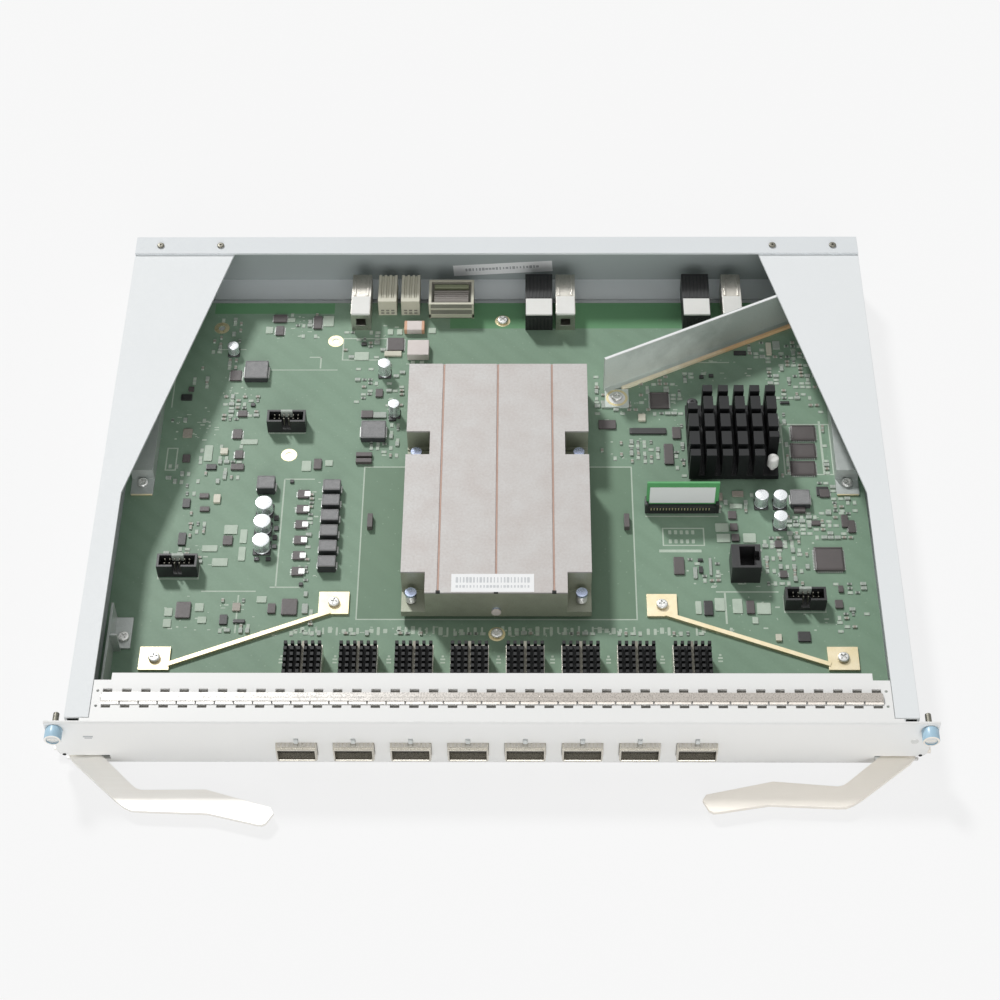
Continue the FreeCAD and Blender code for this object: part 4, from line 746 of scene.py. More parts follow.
@dataclass(frozen=True)
class BoardPrint(SubAssembly):
    """Printed outlines, tinted mask zones, a painted shadow along the rear edge and gold rings on the main
    board.
    """

    ink_mm: float = 0.03
    line_mm: float = 0.7
    ring_mm: float = 4.3
    hole_mm: float = 1.9
    frames: Tuple[Tuple[float, float, float, float], ...] = (
        (-70, 73.5, -83.7, 17.8), (-177, -171, 15, 31), (88, 110, -36, -24), (148, 169.5, -79, -68),
        (-173.5, -152, -58, -46.5), (-123, -103, 41, 52), (155, 181.5, 12, 48), (-86, -60, 95, 112))
    lines: Tuple[Tuple[float, float, float, float], ...] = (
        (-112.4, -111.6, -63, 9), (-112, -96, 8.6, 9.4), (-115, -98, -63.4, -62.6), (-125.4, -88, 87.5, 88.1),
        (175.6, 176.8, 12, 50), (114, 146, -66.2, -65.4), (86, 108, -40.2, -38.4), (118, 119, -86, -66),
        (-150, -122, -66, -65.2), (-131, -130.2, -92, -68), (-98, -97.2, 89, 97.5), (-104, -97.2, 97, 97.8),
        (-155, -140, 103, 103.6), (-178, -177.3, 60, 100), (104, 130, 93, 93.7), (-50, -30, 92, 92.6))
    dashes: int = 64
    dash_first: float = -100.0
    dash_pitch: float = 3.5
    dash_row: float = -90.4
    rings: Tuple[Tuple[float, float], ...] = ((-90.1, 109.7), (-110.9, 25.9), (-155.1, 119.8))

    def build(self) -> None:
        """Makes the ink, the darker mask zone, the painted rear shadow and the rings."""
        top = BOARD_TOP
        zone = Bench.slab("mask_zone", Extent(-69.5, 73, -83.2, 17.3, top, top + 0.02), soft=0.005)
        self.hand_over(zone, "mask_dark", "board_green")
        # Painted shadow of the rear bar: deeper green slabs along the board's rear edge.
        edge = node_extent("main_board").y1 - 0.3
        bare = [Bench.slab("bare", Extent(x0, x1, y0, edge, top, top + 0.02), soft=0.005)
                for x0, x1, y0 in ((-26, 178, 119.5), (-160, -92, 131))]
        rear = Bench.merge(bare, "rear_painted_shadow_zone")
        self.hand_over(rear, "rear_shadow_mask", "board_green")
        strokes = [Bench.frame_of("stroke", Extent(x0, x1, y0, y1, top, top + self.ink_mm), self.line_mm)
                   for x0, x1, y0, y1 in self.frames]
        strokes += [Bench.slab("stroke", Extent(x0, x1, y0, y1, top, top + self.ink_mm), soft=0.01)
                    for x0, x1, y0, y1 in self.lines]
        ink = Bench.merge(strokes, "board_outlines")
        self.hand_over(ink, "silk", "board_green")
        self.gold_rings()
        self.marks()

    def gold_rings(self) -> None:
        """Makes a gold ring round each open hole and under each bare screw."""
        ring = self.ring((0, 0, 0), self.ring_mm, self.hole_mm)
        places = [at(x, y) for x, y in self.rings] + [at(2, -92.5), at(3.7, 125.2)]
        rings = Bench.stamp(ring, places, "gold_rings")
        self.hand_over(rings, "gold", "stiffener_gold")
        plug = Bench.turned("plug", (0, 0, -0.5), self.hole_mm, 0.5, sides=24, soft=0.1, steps=1)
        plugs = Bench.stamp(plug, [at(x, y) for x, y in self.rings], "standoff_tops")
        self.hand_over(plugs, "steel", "stiffener_gold")

    @staticmethod
    def ring(centre: Point, outer: float, inner: float) -> bpy.types.Object:
        """Makes one thin flat ring."""
        Bench.clear()
        bpy.ops.mesh.primitive_circle_add(vertices=32, radius=outer * MM, fill_type="NGON",
                                          location=Vector(centre) * MM)
        piece = Bench.settle("ring")
        Bench.pick(piece, whole)
        bpy.ops.mesh.inset(thickness=(outer - inner) * MM, depth=0)
        bpy.ops.mesh.delete(type="FACE")
        Bench.close()
        Bench.modify(piece, "SOLIDIFY", thickness=0.06 * MM, offset=1)
        return piece

    def marks(self) -> None:
        """Stamps short generic ink strokes beside the parts."""
        rng = random.Random(SEED)
        stroke = Bench.slab("mark", Extent(-0.5, 0.5, -0.5, 0.5, 0, 1), soft=0.1)
        places = []
        for x0, x1, y0, y1, count in (
                (-175, -150, 35, 60, 26), (-150, -125, 68, 85, 16), (-125, -95, 110, 130, 22),
                (-172, -140, -50, -35, 20), (-105, -88, -62, 8, 26), (-168, -120, -90, -68, 24),
                (100, 146, -64, -40, 26), (150, 190, -40, -15, 22), (60, 100, 22, 80, 30),
                (106, 160, 78, 100, 18), (-120, 110, -94, -88, 60), (120, 180, -90, -62, 26),
                (-66, -40, 95, 125, 16), (-70, -56, 22, 80, 12)):
            for _ in range(count):
                places.append(at(rng.uniform(x0, x1), rng.uniform(y0, y1), BOARD_TOP, 0,
                                 (rng.choice((0.5, 1.2, 2.4)), rng.choice((0.5, 0.9)), self.ink_mm)))
        places += [at(92 + column * 3, y, BOARD_TOP, 0, (1.6, 2.6, self.ink_mm)) for column in range(5)
                   for y in (-27, -33)]
        for x, y in ((-52, -108), (-47, -108), (-25, -108), (3, -108), (30, -108), (58, -108), (85, -108),
                     (114, -107), (-79, -108), (-106, -108)):
            places += [at(x, y, BOARD_TOP, 0, (2.4, 1.0, self.ink_mm)),
                       at(x, y - 2, BOARD_TOP, 0, (2.4, 0.9, self.ink_mm)),
                       at(x, y + 1.8, BOARD_TOP, 0, (1.2, 1.2, self.ink_mm))]
        for number in range(self.dashes):
            x = self.dash_first + number * self.dash_pitch
            if rng.random() < 0.8:
                places.append(at(x, self.dash_row + rng.uniform(-0.6, 0.6), BOARD_TOP, 0,
                                 (rng.choice((1.0, 1.5, 2.1)), rng.choice((2.6, 3.8, 5.0)), self.ink_mm)))
        ink = Bench.stamp(stroke, places, "board_marks")
        self.hand_over(ink, "silk", "board_green")


# ---------------------------------------------------------------- passives and leads

class Kind(Enum):
    """Kinds of small part: height in millimetres and finish of the body."""

    EPOXY = (1.1, "epoxy")
    BLACK = (1.0, "epoxy_black")
    BROWN = (0.9, "ceramic")
    GREY = (0.9, "ceramic_grey")
    PALE = (0.5, "silk")
    CREAM = (1.2, "cream")


@dataclass(frozen=True)
class SmallParts(SubAssembly):
    """Named small parts by kind, and close-set rows of passives between them."""

    placed: Tuple[Tuple[Kind, Tuple[Tuple[float, float, float, float], ...]], ...] = (
        (Kind.EPOXY, ((-168, 73, 3, 3), (-166, 23, 4, 5), (-138, 17, 7, 4), (-154, -3, 5, 3),
            (-153, -12, 5, 3), (-139, -33, 5, 6), (-64, 70, 4, 5.5), (-70, 54.5, 6.5, 5),
            (-95, 19, 4.2, 7), (-158, -78, 7.5, 10), (-113, -77, 4, 6), (-104, -76, 8, 10),
            (95.8, -49.5, 5.4, 11), (125.2, -16, 4.4, 5), (125.6, -24, 4, 4.6), (126, -31, 4, 4.6),
            (93.6, 26, 5, 14), (131, -76, 4, 8), (178, -64.4, 2.5, 4), (176.2, -74, 4, 5),
            (61, 47, 9.5, 6), (98.4, 41, 4.6, 8), (184, -20, 3.6, 8))),
        (Kind.BLACK, ((-170, 67, 6, 4), (-133, 61.5, 2.4, 2.2), (-139, 56, 2.2, 2.2),
            (-152, 17, 5.5, 3.5), (-163, -8, 4, 6), (-163, -32, 4, 8), (-74, 107, 3, 2),
            (-56, 53, 4, 6), (-108, 7, 2, 2), (-99, -61.5, 2, 2), (-137, -84, 4, 6), (-129, -85, 6, 2),
            (-114.6, -18, 2.4, 3), (-114.2, -25, 2.4, 3), (-114.6, -31, 2.4, 3),
            (-114.4, -37, 2.4, 2.6), (-123, -45.2, 2.6, 2.2), (-117, -45.2, 2.6, 2.2),
            (69.4, -20, 2.4, 7), (107, -45.6, 2.6, 1.5), (107, -52, 2, 4), (109.6, -76.5, 4.6, 9),
            (156.9, -94.3, 6.4, 6.0), (83, 42.4, 20, 4), (136.4, 100, 7, 2.8), (158.6, 63, 5, 1.6),
            (174, 0.2, 6.4, 6), (114, 82, 2.4, 2), (119.4, 83, 2.6, 2))),
        (Kind.BROWN, ((-167, 41, 5, 6), (-131, -76, 4, 5), (129, -1.5, 6, 3.6), (119.6, -3.4, 2.4, 5))),
        (Kind.GREY, ((-63, 54, 7, 4), (-96, -77, 3, 6), (112, -50, 1.4, 11), (104, -54, 2, 7),
            (157, 106, 4, 6))),
        (Kind.PALE, ((-131, -30, 3.6, 9), (-131, -41.5, 3.6, 9), (-138, -25.5, 7, 6), (-142, -47, 8, 5),
            (-148, -38, 8, 4), (-154.5, 27, 4.4, 11), (-133, 35, 9, 3.4), (-75, 98, 8, 6),
            (-95, 125, 6, 8), (-116, 126, 4, 3), (-128, 118, 4, 5), (-101, 18, 5, 7), (-89, 20, 4, 4),
            (-165.5, -79, 4, 5), (-165.5, -86, 4, 5), (-150, -76, 4.4, 5), (-148, -84, 4.4, 4),
            (-118.5, -71, 5, 4), (119.4, -24, 7, 5.4), (119.8, -31, 7, 5.4), (133.4, -31, 6.6, 6),
            (127.6, -9.6, 6.6, 3), (115.5, -74, 5, 8), (124.5, -75, 5, 9), (137.8, -76.5, 7, 7),
            (104.6, -76, 3, 8), (133, -84, 3, 4), (-46.2, 92.4, 2.4, 4), (-41.2, 92.4, 2.4, 4),
            (-59.6, 116.5, 3, 4), (-54.4, 116.5, 3, 4), (-36, 117.5, 4, 4))),
        (Kind.CREAM, ((-146, 28, 4, 4), (-147, -5, 3.6, 5.6), (144, -95, 3, 4), (80, 52, 4, 5),
            (152.6, 103, 3, 9), (-57.5, 99.4, 9.5, 3.6))))
    fields: Tuple[Tuple[float, float, float, float, float], ...] = (
        (-150, -129, 50, 71, 0.75), (-178, -154, 49, 53, 0.7), (-150, -142, 88, 97, 0.8),
        (-165, -149, -16, 2, 0.6), (-161, -149, -31, -19, 0.75), (-172, -158, 74, 92, 0.35),
        (-160, -140, 100, 128, 0.3), (-128, -96, 112, 133, 0.35), (-86, -52, 96, 122, 0.3),
        (-78, -50, 60, 94, 0.3), (-72, -50, 24, 50, 0.4), (-98.6, -94.5, -60, 4, 0.65),
        (-176, -160, 3, 20, 0.4), (-160, -132, 6, 34, 0.35), (-172, -150, -48, -36, 0.55),
        (-140, -120, -92, -68, 0.35), (-112, -90, -88, -66, 0.4), (54, 104, 54, 84, 0.55),
        (72, 90, 20, 38, 0.65), (103, 122, 78, 87, 0.6), (150, 190, 60, 98, 0.55), (140, 178, 96, 112, 0.5),
        (153, 190, -32, -13, 0.65), (171, 192, -14, 10, 0.55), (174, 192, -92, -58, 0.45),
        (100, 120, -60, -42, 0.6), (136, 165, -62, -28, 0.5), (117, 138, -14, 2, 0.45),
        (152, 160, 10, 56, 0.5), (176, 190, 12, 58, 0.45), (56, 72, 22, 40, 0.3), (96, 104, 10, 50, 0.5))
    rows_front: float = -92.0
    pitch: Tuple[float, float] = (3.5, 2.7)
    port_first: float = -94.1
    port_pitch: float = 27.6

    def build(self, keep_out: Sequence[Extent]) -> None:
        """Makes the named parts and the passive rows.

        Args:
            keep_out: boxes that passives stay clear of.
        """
        blocked = list(keep_out)
        for kind, chosen in self.placed:
            height, finish = kind.value
            model = self.body(height)
            piece = Bench.stamp(model, [at(x, y, BOARD_TOP, 0, (w, l, 1)) for x, y, w, l in chosen],
                                f"{kind.name.lower()}_parts")
            self.hand_over(piece, finish, "board_green" if kind is Kind.PALE else "chip_black")
            blocked += [around(x, y, w + 1, l + 1, 0, 1) for x, y, w, l in chosen]
        self.passives(blocked)

    @staticmethod
    def body(height: float) -> bpy.types.Object:
        """Models one moulded body a millimetre square with a softened top."""
        return Bench.slab("body", Extent(-0.5, 0.5, -0.5, 0.5, 0, height), soft=0.05)

    def passive(self, body: str, width: float, length: float, height: float) -> bpy.types.Object:
        """Models one passive: a body between two plated ends.

        Args:
            body: finish of the body.
            width: across the ends.
            length: along the ends.
            height: above the board.

        Returns:
            The model, at the origin.
        """
        piece = Bench.slab("passive", Extent(-width / 2, width / 2, -length / 2, length / 2, 0, height),
                           soft=0.08)
        Bench.pick(piece, whole)
        for side in (-0.26, 0.26):
            bpy.ops.mesh.select_all(action="SELECT")
            bpy.ops.mesh.bisect(plane_co=(side * width * MM, 0, 0), plane_no=(1, 0, 0))
        Bench.close()
        Bench.paint(piece, self.made[body])
        Bench.paint(piece, self.made["fired"], lambda centre, normal: abs(centre.x) > 0.26 * width)
        return piece

    def passives(self, blocked: Sequence[Extent]) -> None:
        """Sets passives on a fine grid inside each field, clear of the other parts."""
        rng = random.Random(SEED + 1)
        kinds = (("ceramic", 2.5, 1.4, 0.8), ("resin", 2.4, 1.4, 0.6), ("ceramic_grey", 3.0, 2.0, 0.9),
                 ("silk", 2.8, 1.8, 0.3))
        places: Dict[int, List[Matrix]] = {number: [] for number in range(len(kinds))}
        spots = list(self.fields)
        spots += [(self.port_first + number * self.port_pitch - 9.5,
                   self.port_first + number * self.port_pitch + 10,
                   self.rows_front - 1.6, self.rows_front + 2.4, 0.8) for number in range(PORTS)]
        for x0, x1, y0, y1, density in spots:
            across, along = self.pitch
            turn = rng.choice((0, 90))
            for column in range(int((x1 - x0) / across)):
                for row in range(int((y1 - y0) / along)):
                    x = x0 + (column + 0.5) * across + rng.uniform(-0.15, 0.15)
                    y = y0 + (row + 0.5) * along + rng.uniform(-0.1, 0.1)
                    if rng.random() > density or any(
                            box.x0 - 0.9 < x < box.x1 + 0.9 and box.y0 - 0.9 < y < box.y1 + 0.9
                            for box in blocked):
                        continue
                    pick = rng.choices(range(len(kinds)), weights=(3, 2, 3, 7))[0]
                    places[pick].append(at(x, y, BOARD_TOP, turn if rng.random() < 0.8 else 90 - turn))
        for number, (finish, width, length, height) in enumerate(kinds):
            piece = Bench.stamp(self.passive(finish, width, length, height), places[number],
                                f"passives_{number + 1}")
            mount(piece, "capacitor_metal")


@dataclass(frozen=True)
class ChipBodies(SubAssembly):
    """Moulded bodies of the larger chips and blocks, each on its own solid."""

    tall: float = 3.4
    large: float = 9.0

    def build(self) -> None:
        """Models every body and joins them by finish."""
        dark, pale = [], []
        for box in islands("chips"):
            if box.size[2] > self.tall:
                pale.append(self.block(box))
            else:
                dark.append(self.moulded(box))
        mount(Bench.merge(dark, "moulded_chips"), "chip_black", "chips")
        mount(Bench.merge(pale, "moulded_blocks"), "connector_cream", "chips")

    def moulded(self, box: Extent) -> bpy.types.Object:
        """Models one black body; the larger ones have a shallow step round the top.

        Args:
            box: its solid's box.

        Returns:
            The body.
        """
        piece = Bench.slab("chip", box, soft=0.18, steps=2)
        if min(box.size[:2]) > self.large:
            Bench.sink(piece, upward, 0.9, 0.08)
        Bench.paint(piece, self.made["epoxy"])
        return piece

    def block(self, box: Extent) -> bpy.types.Object:
        """Models one pale block; the long one has amber ends.

        Args:
            box: its solid's box.

        Returns:
            The block.
        """
        piece = Bench.slab("block", box, soft=0.4, steps=2)
        Bench.paint(piece, self.made["pale_block"])
        if box.size[0] > 1.4 * box.size[1]:
            x = box.middle[0]
            for side in (-1, 1):
                Bench.pick(piece, whole)
                bpy.ops.mesh.bisect(plane_co=((x + side * 0.36 * box.size[0]) * MM, 0, 0), plane_no=(1, 0, 0))
                Bench.close()
            Bench.paint(piece, self.made["amber"],
                        lambda centre, normal: abs(centre.x - x) > 0.36 * box.size[0])
        return piece


@dataclass(frozen=True)
class ChipLeads(SubAssembly):
    """Tinned leads beside each low chip, and bright clips on the power transistors."""

    lead: Tuple[float, float, float] = (0.9, 0.38, 0.5)
    pitch: float = 0.95

    def build(self) -> None:
        """Stands leads round each low chip, on four sides of the larger ones, then makes the clips."""
        places = []
        for box in islands("chips"):
            width, length, height = box.size
            x, y, _ = box.middle
            if height > 2 or min(width, length) < 3:
                continue
            sides = (0, 180) if width < 11 else (0, 90, 180, 270)
            for turn in sides:
                upright = turn % 180 == 0
                reach, run = (width / 2, length) if upright else (length / 2, width)
                count = max(2, int((run - 0.8) / self.pitch))
                for number in range(count):
                    offset = (number - (count - 1) / 2) * self.pitch
                    step = (Matrix.Rotation(math.radians(turn), 4, "Z")
                            @ Matrix.Translation((reach + 0.35, offset, 0)))
                    places.append(Matrix.Translation((x, y, BOARD_TOP)) @ step)
        leads = Bench.stamp(self.one_lead(), places, "chip_leads")
        self.hand_over(leads, "solder", "pin_steel")
        self.power_tabs()

    def one_lead(self) -> bpy.types.Object:
        """Models one gull-wing lead: a flat foot with its rise against the body."""
        reach, width, height = self.lead
        piece = Bench.slab("lead", Extent(-reach / 2, reach / 2, -width / 2, width / 2, 0, 0.18), soft=0)
        Bench.pick(piece, upward)
        bpy.ops.mesh.subdivide(number_cuts=1)
        bpy.ops.mesh.select_all(action="DESELECT")
        Bench.close()
        Bench.pick(piece, lambda centre, normal: normal.z > 0.9 and centre.x < 0)
        bpy.ops.mesh.extrude_region_move(TRANSFORM_OT_translate={"value": (0, 0, (height - 0.18) * MM)})
        Bench.close()
        return piece

    def power_tabs(self) -> None:
        """Makes the bright clip over the right half of each power transistor."""
        chips = [box for box in islands("chips")
                 if abs(box.middle[0] + 101.3) < 0.5 and abs(box.size[0] - 6) < 0.1]
        tabs = [Bench.slab("tab", Extent(box.middle[0] + 0.5, box.x1 + 0.9, box.y0 + 0.9, box.y1 - 1.0,
                                         BOARD_TOP, box.z1 + 0.15), soft=0.2) for box in chips]
        piece = Bench.merge(tabs, "transistor_clips")
        self.hand_over(piece, "solder", "pin_steel")


# ---------------------------------------------------------------- coils and cans

@dataclass(frozen=True)
class PowerStage(SubAssembly):
    """Moulded inductors and can capacitors, each modelled on its own solid."""

    def build(self) -> None:
        """Makes the inductors, then the cans."""
        bodies, ends = [], []
        for box in islands("inductors"):
            bodies.append(self.inductor(box))
            ends += self.terminals(box)
        coils = Bench.merge(bodies, "moulded_inductors")
        mount(coils, "inductor_grey", "inductors")
        tips = Bench.merge(ends, "inductor_terminals")
        self.hand_over(tips, "solder", "pin_steel")
        cans = [self.can(box) for box in islands("capacitors")]
        mount(Bench.merge(cans, "can_capacitors"), "capacitor_metal", "capacitors")

    def inductor(self, box: Extent) -> bpy.types.Object:
        """Models one inductor: a pressed block, dark sides and a paler top set in a little.

        Args:
            box: its solid's box.

        Returns:
            The block.
        """
        piece = Bench.slab("coil", box, soft=0.5, steps=2)
        Bench.sink(piece, upward, 0.5, 0.12)
        Bench.paint(piece, self.made["powder_dark"])
        Bench.paint(piece, self.made["powder"], lambda centre, normal: centre.z > box.z1 - 0.6)
        return piece

    def terminals(self, box: Extent) -> List[bpy.types.Object]:
        """Models the two folded terminals that wrap an inductor's ends."""
        _, y, _ = box.middle
        half = box.size[1] * 0.3
        return [Bench.slab("tip", Extent(min(a, b), max(a, b), y - half, y + half, BOARD_TOP,
                                         BOARD_TOP + 1.7), soft=0.15)
                for a, b in ((box.x0 - 0.7, box.x0 + 0.3), (box.x1 - 0.3, box.x1 + 0.7))]

    def can(self, box: Extent) -> bpy.types.Object:
        """Models one can: plastic base with cut corners, crimped waist and a rounded top rim.

        Args:
            box: its solid's box.

        Returns:
            The can on its base.
        """
        x, y, _ = box.middle
        radius = box.size[0] / 2
        foot = Bench.slab("foot", around(x, y, 2 * radius - 0.1, 2 * radius - 0.1, box.z0, box.z0 + 0.9),
                          soft=0.3)
        Bench.paint(foot, self.made["epoxy_black"])
        shell = Bench.turned("shell", (x, y, (box.z0 + 0.9 + box.z1) / 2), radius * 0.97,
                             box.z1 - box.z0 - 0.9, sides=28, soft=0.45, steps=3)
        for height in (box.z0 + 1.7, box.z0 + 2.3):
            Bench.pick(shell, whole)
            bpy.ops.mesh.bisect(plane_co=(0, 0, height * MM), plane_no=(0, 0, 1))
            Bench.close()
        Bench.pick(shell, lambda centre, normal: (abs(normal.z) < 0.3
                                                  and box.z0 + 1.7 < centre.z < box.z0 + 2.3))
        bpy.ops.transform.resize(value=(0.93, 0.93, 1), center_override=(x * MM, y * MM, 0))
        Bench.close()
        Bench.smooth(shell, 50)
        Bench.paint(shell, self.made["can"])
        return Bench.merge([shell, foot], "can")


# ---------------------------------------------------------------- fasteners

@dataclass(frozen=True)
class Fasteners(SubAssembly):
    """Cross-head board screws, sprung heat sink screws, rivets and the captive screws."""

    cross_mm: float = 0.9
    spring_wire_mm: float = 0.45
    spring_turns: int = 6
    rivet_seat_mm: float = 35.2

    def build(self) -> None:
        """Makes every visible fastener."""
        self.board_screws()
        self.springs()
        self.rivets()
        self.push_pins()
        for side in ("left", "right"):
            self.captive(side)

    def head(self, radius: float, height: float) -> bpy.types.Object:
        """Models a pan head with a cross recess, its foot at the origin.

        Args:
            radius: the head's radius.
            height: the head's height.

        Returns:
            The head.
        """
        piece = Bench.turned("head", (0, 0, height / 2), radius, height, sides=32, soft=height * 0.45,
                             steps=3)
        for across, along in ((self.cross_mm, 1.3 * radius), (1.3 * radius, self.cross_mm)):
            tool = Bench.slab("tool", around(0, 0, across, along, height - 0.8, height + 1), soft=0)
            Bench.carve(piece, tool)
        Bench.smooth(piece)
        Bench.paint(piece, self.made["steel"])
        return piece

    def board_screws(self) -> None:
        """Stamps heads with shanks on every board screw."""
        boxes = islands("board_screws")
        height = 1.8
        head = self.head(3.0, height)
        shank = Bench.turned("shank", (0, 0, -2.2), 1.45, 4.4, sides=12, soft=0.2, steps=1)
        Bench.paint(shank, self.made["steel"])
        model = Bench.merge([head, shank], "screw")
        rng = random.Random(SEED + 2)
        places = [at(box.middle[0], box.middle[1], box.z1 - height, rng.uniform(0, 90)) for box in boxes]
        mount(Bench.stamp(model, places, "cross_head_screws"), "pin_steel", "board_screws")

    def springs(self) -> None:
        """Winds a coil spring round each sprung screw."""
        boxes = islands("heatsink_springs")
        low, high = boxes[0].z0, boxes[0].z1
        radius = boxes[0].size[0] / 2 - self.spring_wire_mm
        Bench.clear()
        bpy.ops.mesh.primitive_circle_add(vertices=6, radius=self.spring_wire_mm * MM, fill_type="NOTHING",
                                          location=(radius * MM, 0, self.spring_wire_mm * MM),
                                          rotation=(math.pi / 2, 0, 0))
        coil = Bench.settle("coil")
        rise = (high - low - 2 * self.spring_wire_mm) / self.spring_turns
        Bench.modify(coil, "SCREW", angle=2 * math.pi, screw_offset=rise * MM, iterations=self.spring_turns,
                     steps=16, render_steps=16, axis="Z", use_normal_calculate=True)
        Bench.pick(coil, whole)
        bpy.ops.mesh.remove_doubles(threshold=1e-6)
        bpy.ops.mesh.select_all(action="DESELECT")
        bpy.ops.mesh.select_mode(type="EDGE")
        bpy.ops.mesh.select_non_manifold()
        bpy.ops.mesh.fill_holes(sides=0)
        bpy.ops.mesh.select_all(action="SELECT")
        bpy.ops.mesh.normals_make_consistent(inside=False)
        Bench.close()
        Bench.smooth(coil, 60)
        Bench.paint(coil, self.made["steel"])
        places = [at(box.middle[0], box.middle[1], low) for box in boxes]
        mount(Bench.stamp(coil, places, "coil_springs"), "pin_steel", "heatsink_springs")

    def rivets(self) -> None:
        """Makes hollow dome rivets on the rear bar."""
        boxes = islands("box_rivets")
        height = boxes[0].z1 - self.rivet_seat_mm
        dome = Bench.turned("dome", (0, 0, height / 2), 2.0, height, sides=28, soft=0.6, steps=3)
        Bench.sink(dome, lambda centre, normal: normal.z > 0.95 and math.hypot(centre.x, centre.y) < 1.5, 0.9,
                   0.6)
        Bench.smooth(dome)
        shank = Bench.turned("shank", (0, 0, -1.1), 1.55, 2.4, sides=12, soft=0.2, steps=1)
        model = Bench.merge([dome, shank], "rivet")
        Bench.paint(model, self.made["dark_tin"])
        places = [at(box.middle[0], box.middle[1], self.rivet_seat_mm) for box in boxes]
        mount(Bench.stamp(model, places, "dome_rivets"), "rivet_metal", "box_rivets")

    def push_pins(self) -> None:
        """Stands a white pin at the front corner of the processor's heat sink and a dark one at the rear."""
        for box, finish in zip(sorted(islands("push_pins"), key=lambda box: box.middle[1]),
                               ("white", "black")):
            x, y, _ = box.middle
            top = Bench.turned("top", (x, y, box.z1 - 3.2), 3.0, 6.4, sides=28, soft=0.8, steps=3)
            Bench.carve(top, Bench.turned("tool", (x, y, box.z1), 0.9, 0.8, sides=20, soft=0))
            Bench.smooth(top)
            stem = Bench.turned("stem", (x, y, (box.z0 + box.z1 - 5) / 2), 1.35, box.z1 - 5 - box.z0,
                                sides=16, soft=0.2, steps=1)
            piece = Bench.merge([top, stem], f"{finish}_push_pin")
            self.hand_over(piece, finish, "push_pin_white" if finish == "white" else "connector_black",
                           "push_pins")

    def captive(self, side: str) -> None:
        """Models one captive screw: blue sleeve, pale slotted core and shank.

        Args:
            side: left or right.
        """
        box = node_extent(f"thumbscrew_{side}")
        x, _, z = box.middle
        front, rear = box.y0, box.y0 + 6.5
        sleeve = Bench.turned("sleeve", (x, (front + rear) / 2, z), 4.15, rear - front, Axis.BACK, 40, 0.5, 2)
        Bench.carve(sleeve, Bench.turned("tool", (x, front, z), 3.1, 1.4, Axis.BACK, 32, 0))
        Bench.smooth(sleeve)
        Bench.paint(sleeve, self.made["blue"])
        Bench.paint(sleeve, self.made["nickel"], lambda centre, normal: normal.y < -0.5)
        core = Bench.turned("core", (x, front + 1.2, z), 3.0, 1.6, Axis.BACK, 32, 0.25, 2)
        Bench.carve(core, Bench.slab("tool", Extent(x - 5, x + 5, front - 1, front + 1.1, z - 0.5, z + 0.5),
                                     soft=0))
        Bench.smooth(core)
        neck = Bench.turned("neck", (x, (rear + box.y1) / 2, z), 1.2, box.y1 - rear, Axis.BACK, 16, 0.1, 1)
        thread = Bench.turned("thread", (x, (rear + 2.5 + box.y1) / 2, z), 1.5, box.y1 - rear - 2.5,
                              Axis.BACK, 20, 0.3, 2)
        ring = Bench.turned("ring", (x, rear + 2.0, z), 2.5, 0.8, Axis.BACK, 24, 0.2, 1)
        Bench.paint(core, self.made["steel"])
        for part in (neck, thread, ring):
            Bench.paint(part, self.made["dark_tin"])
        piece = Bench.merge([sleeve, core, neck, thread, ring], f"captive_screw_{side}")
        mount(piece, "captive_blue", f"thumbscrew_{side}", body=f"{side}_screw")


# ---------------------------------------------------------------- connectors

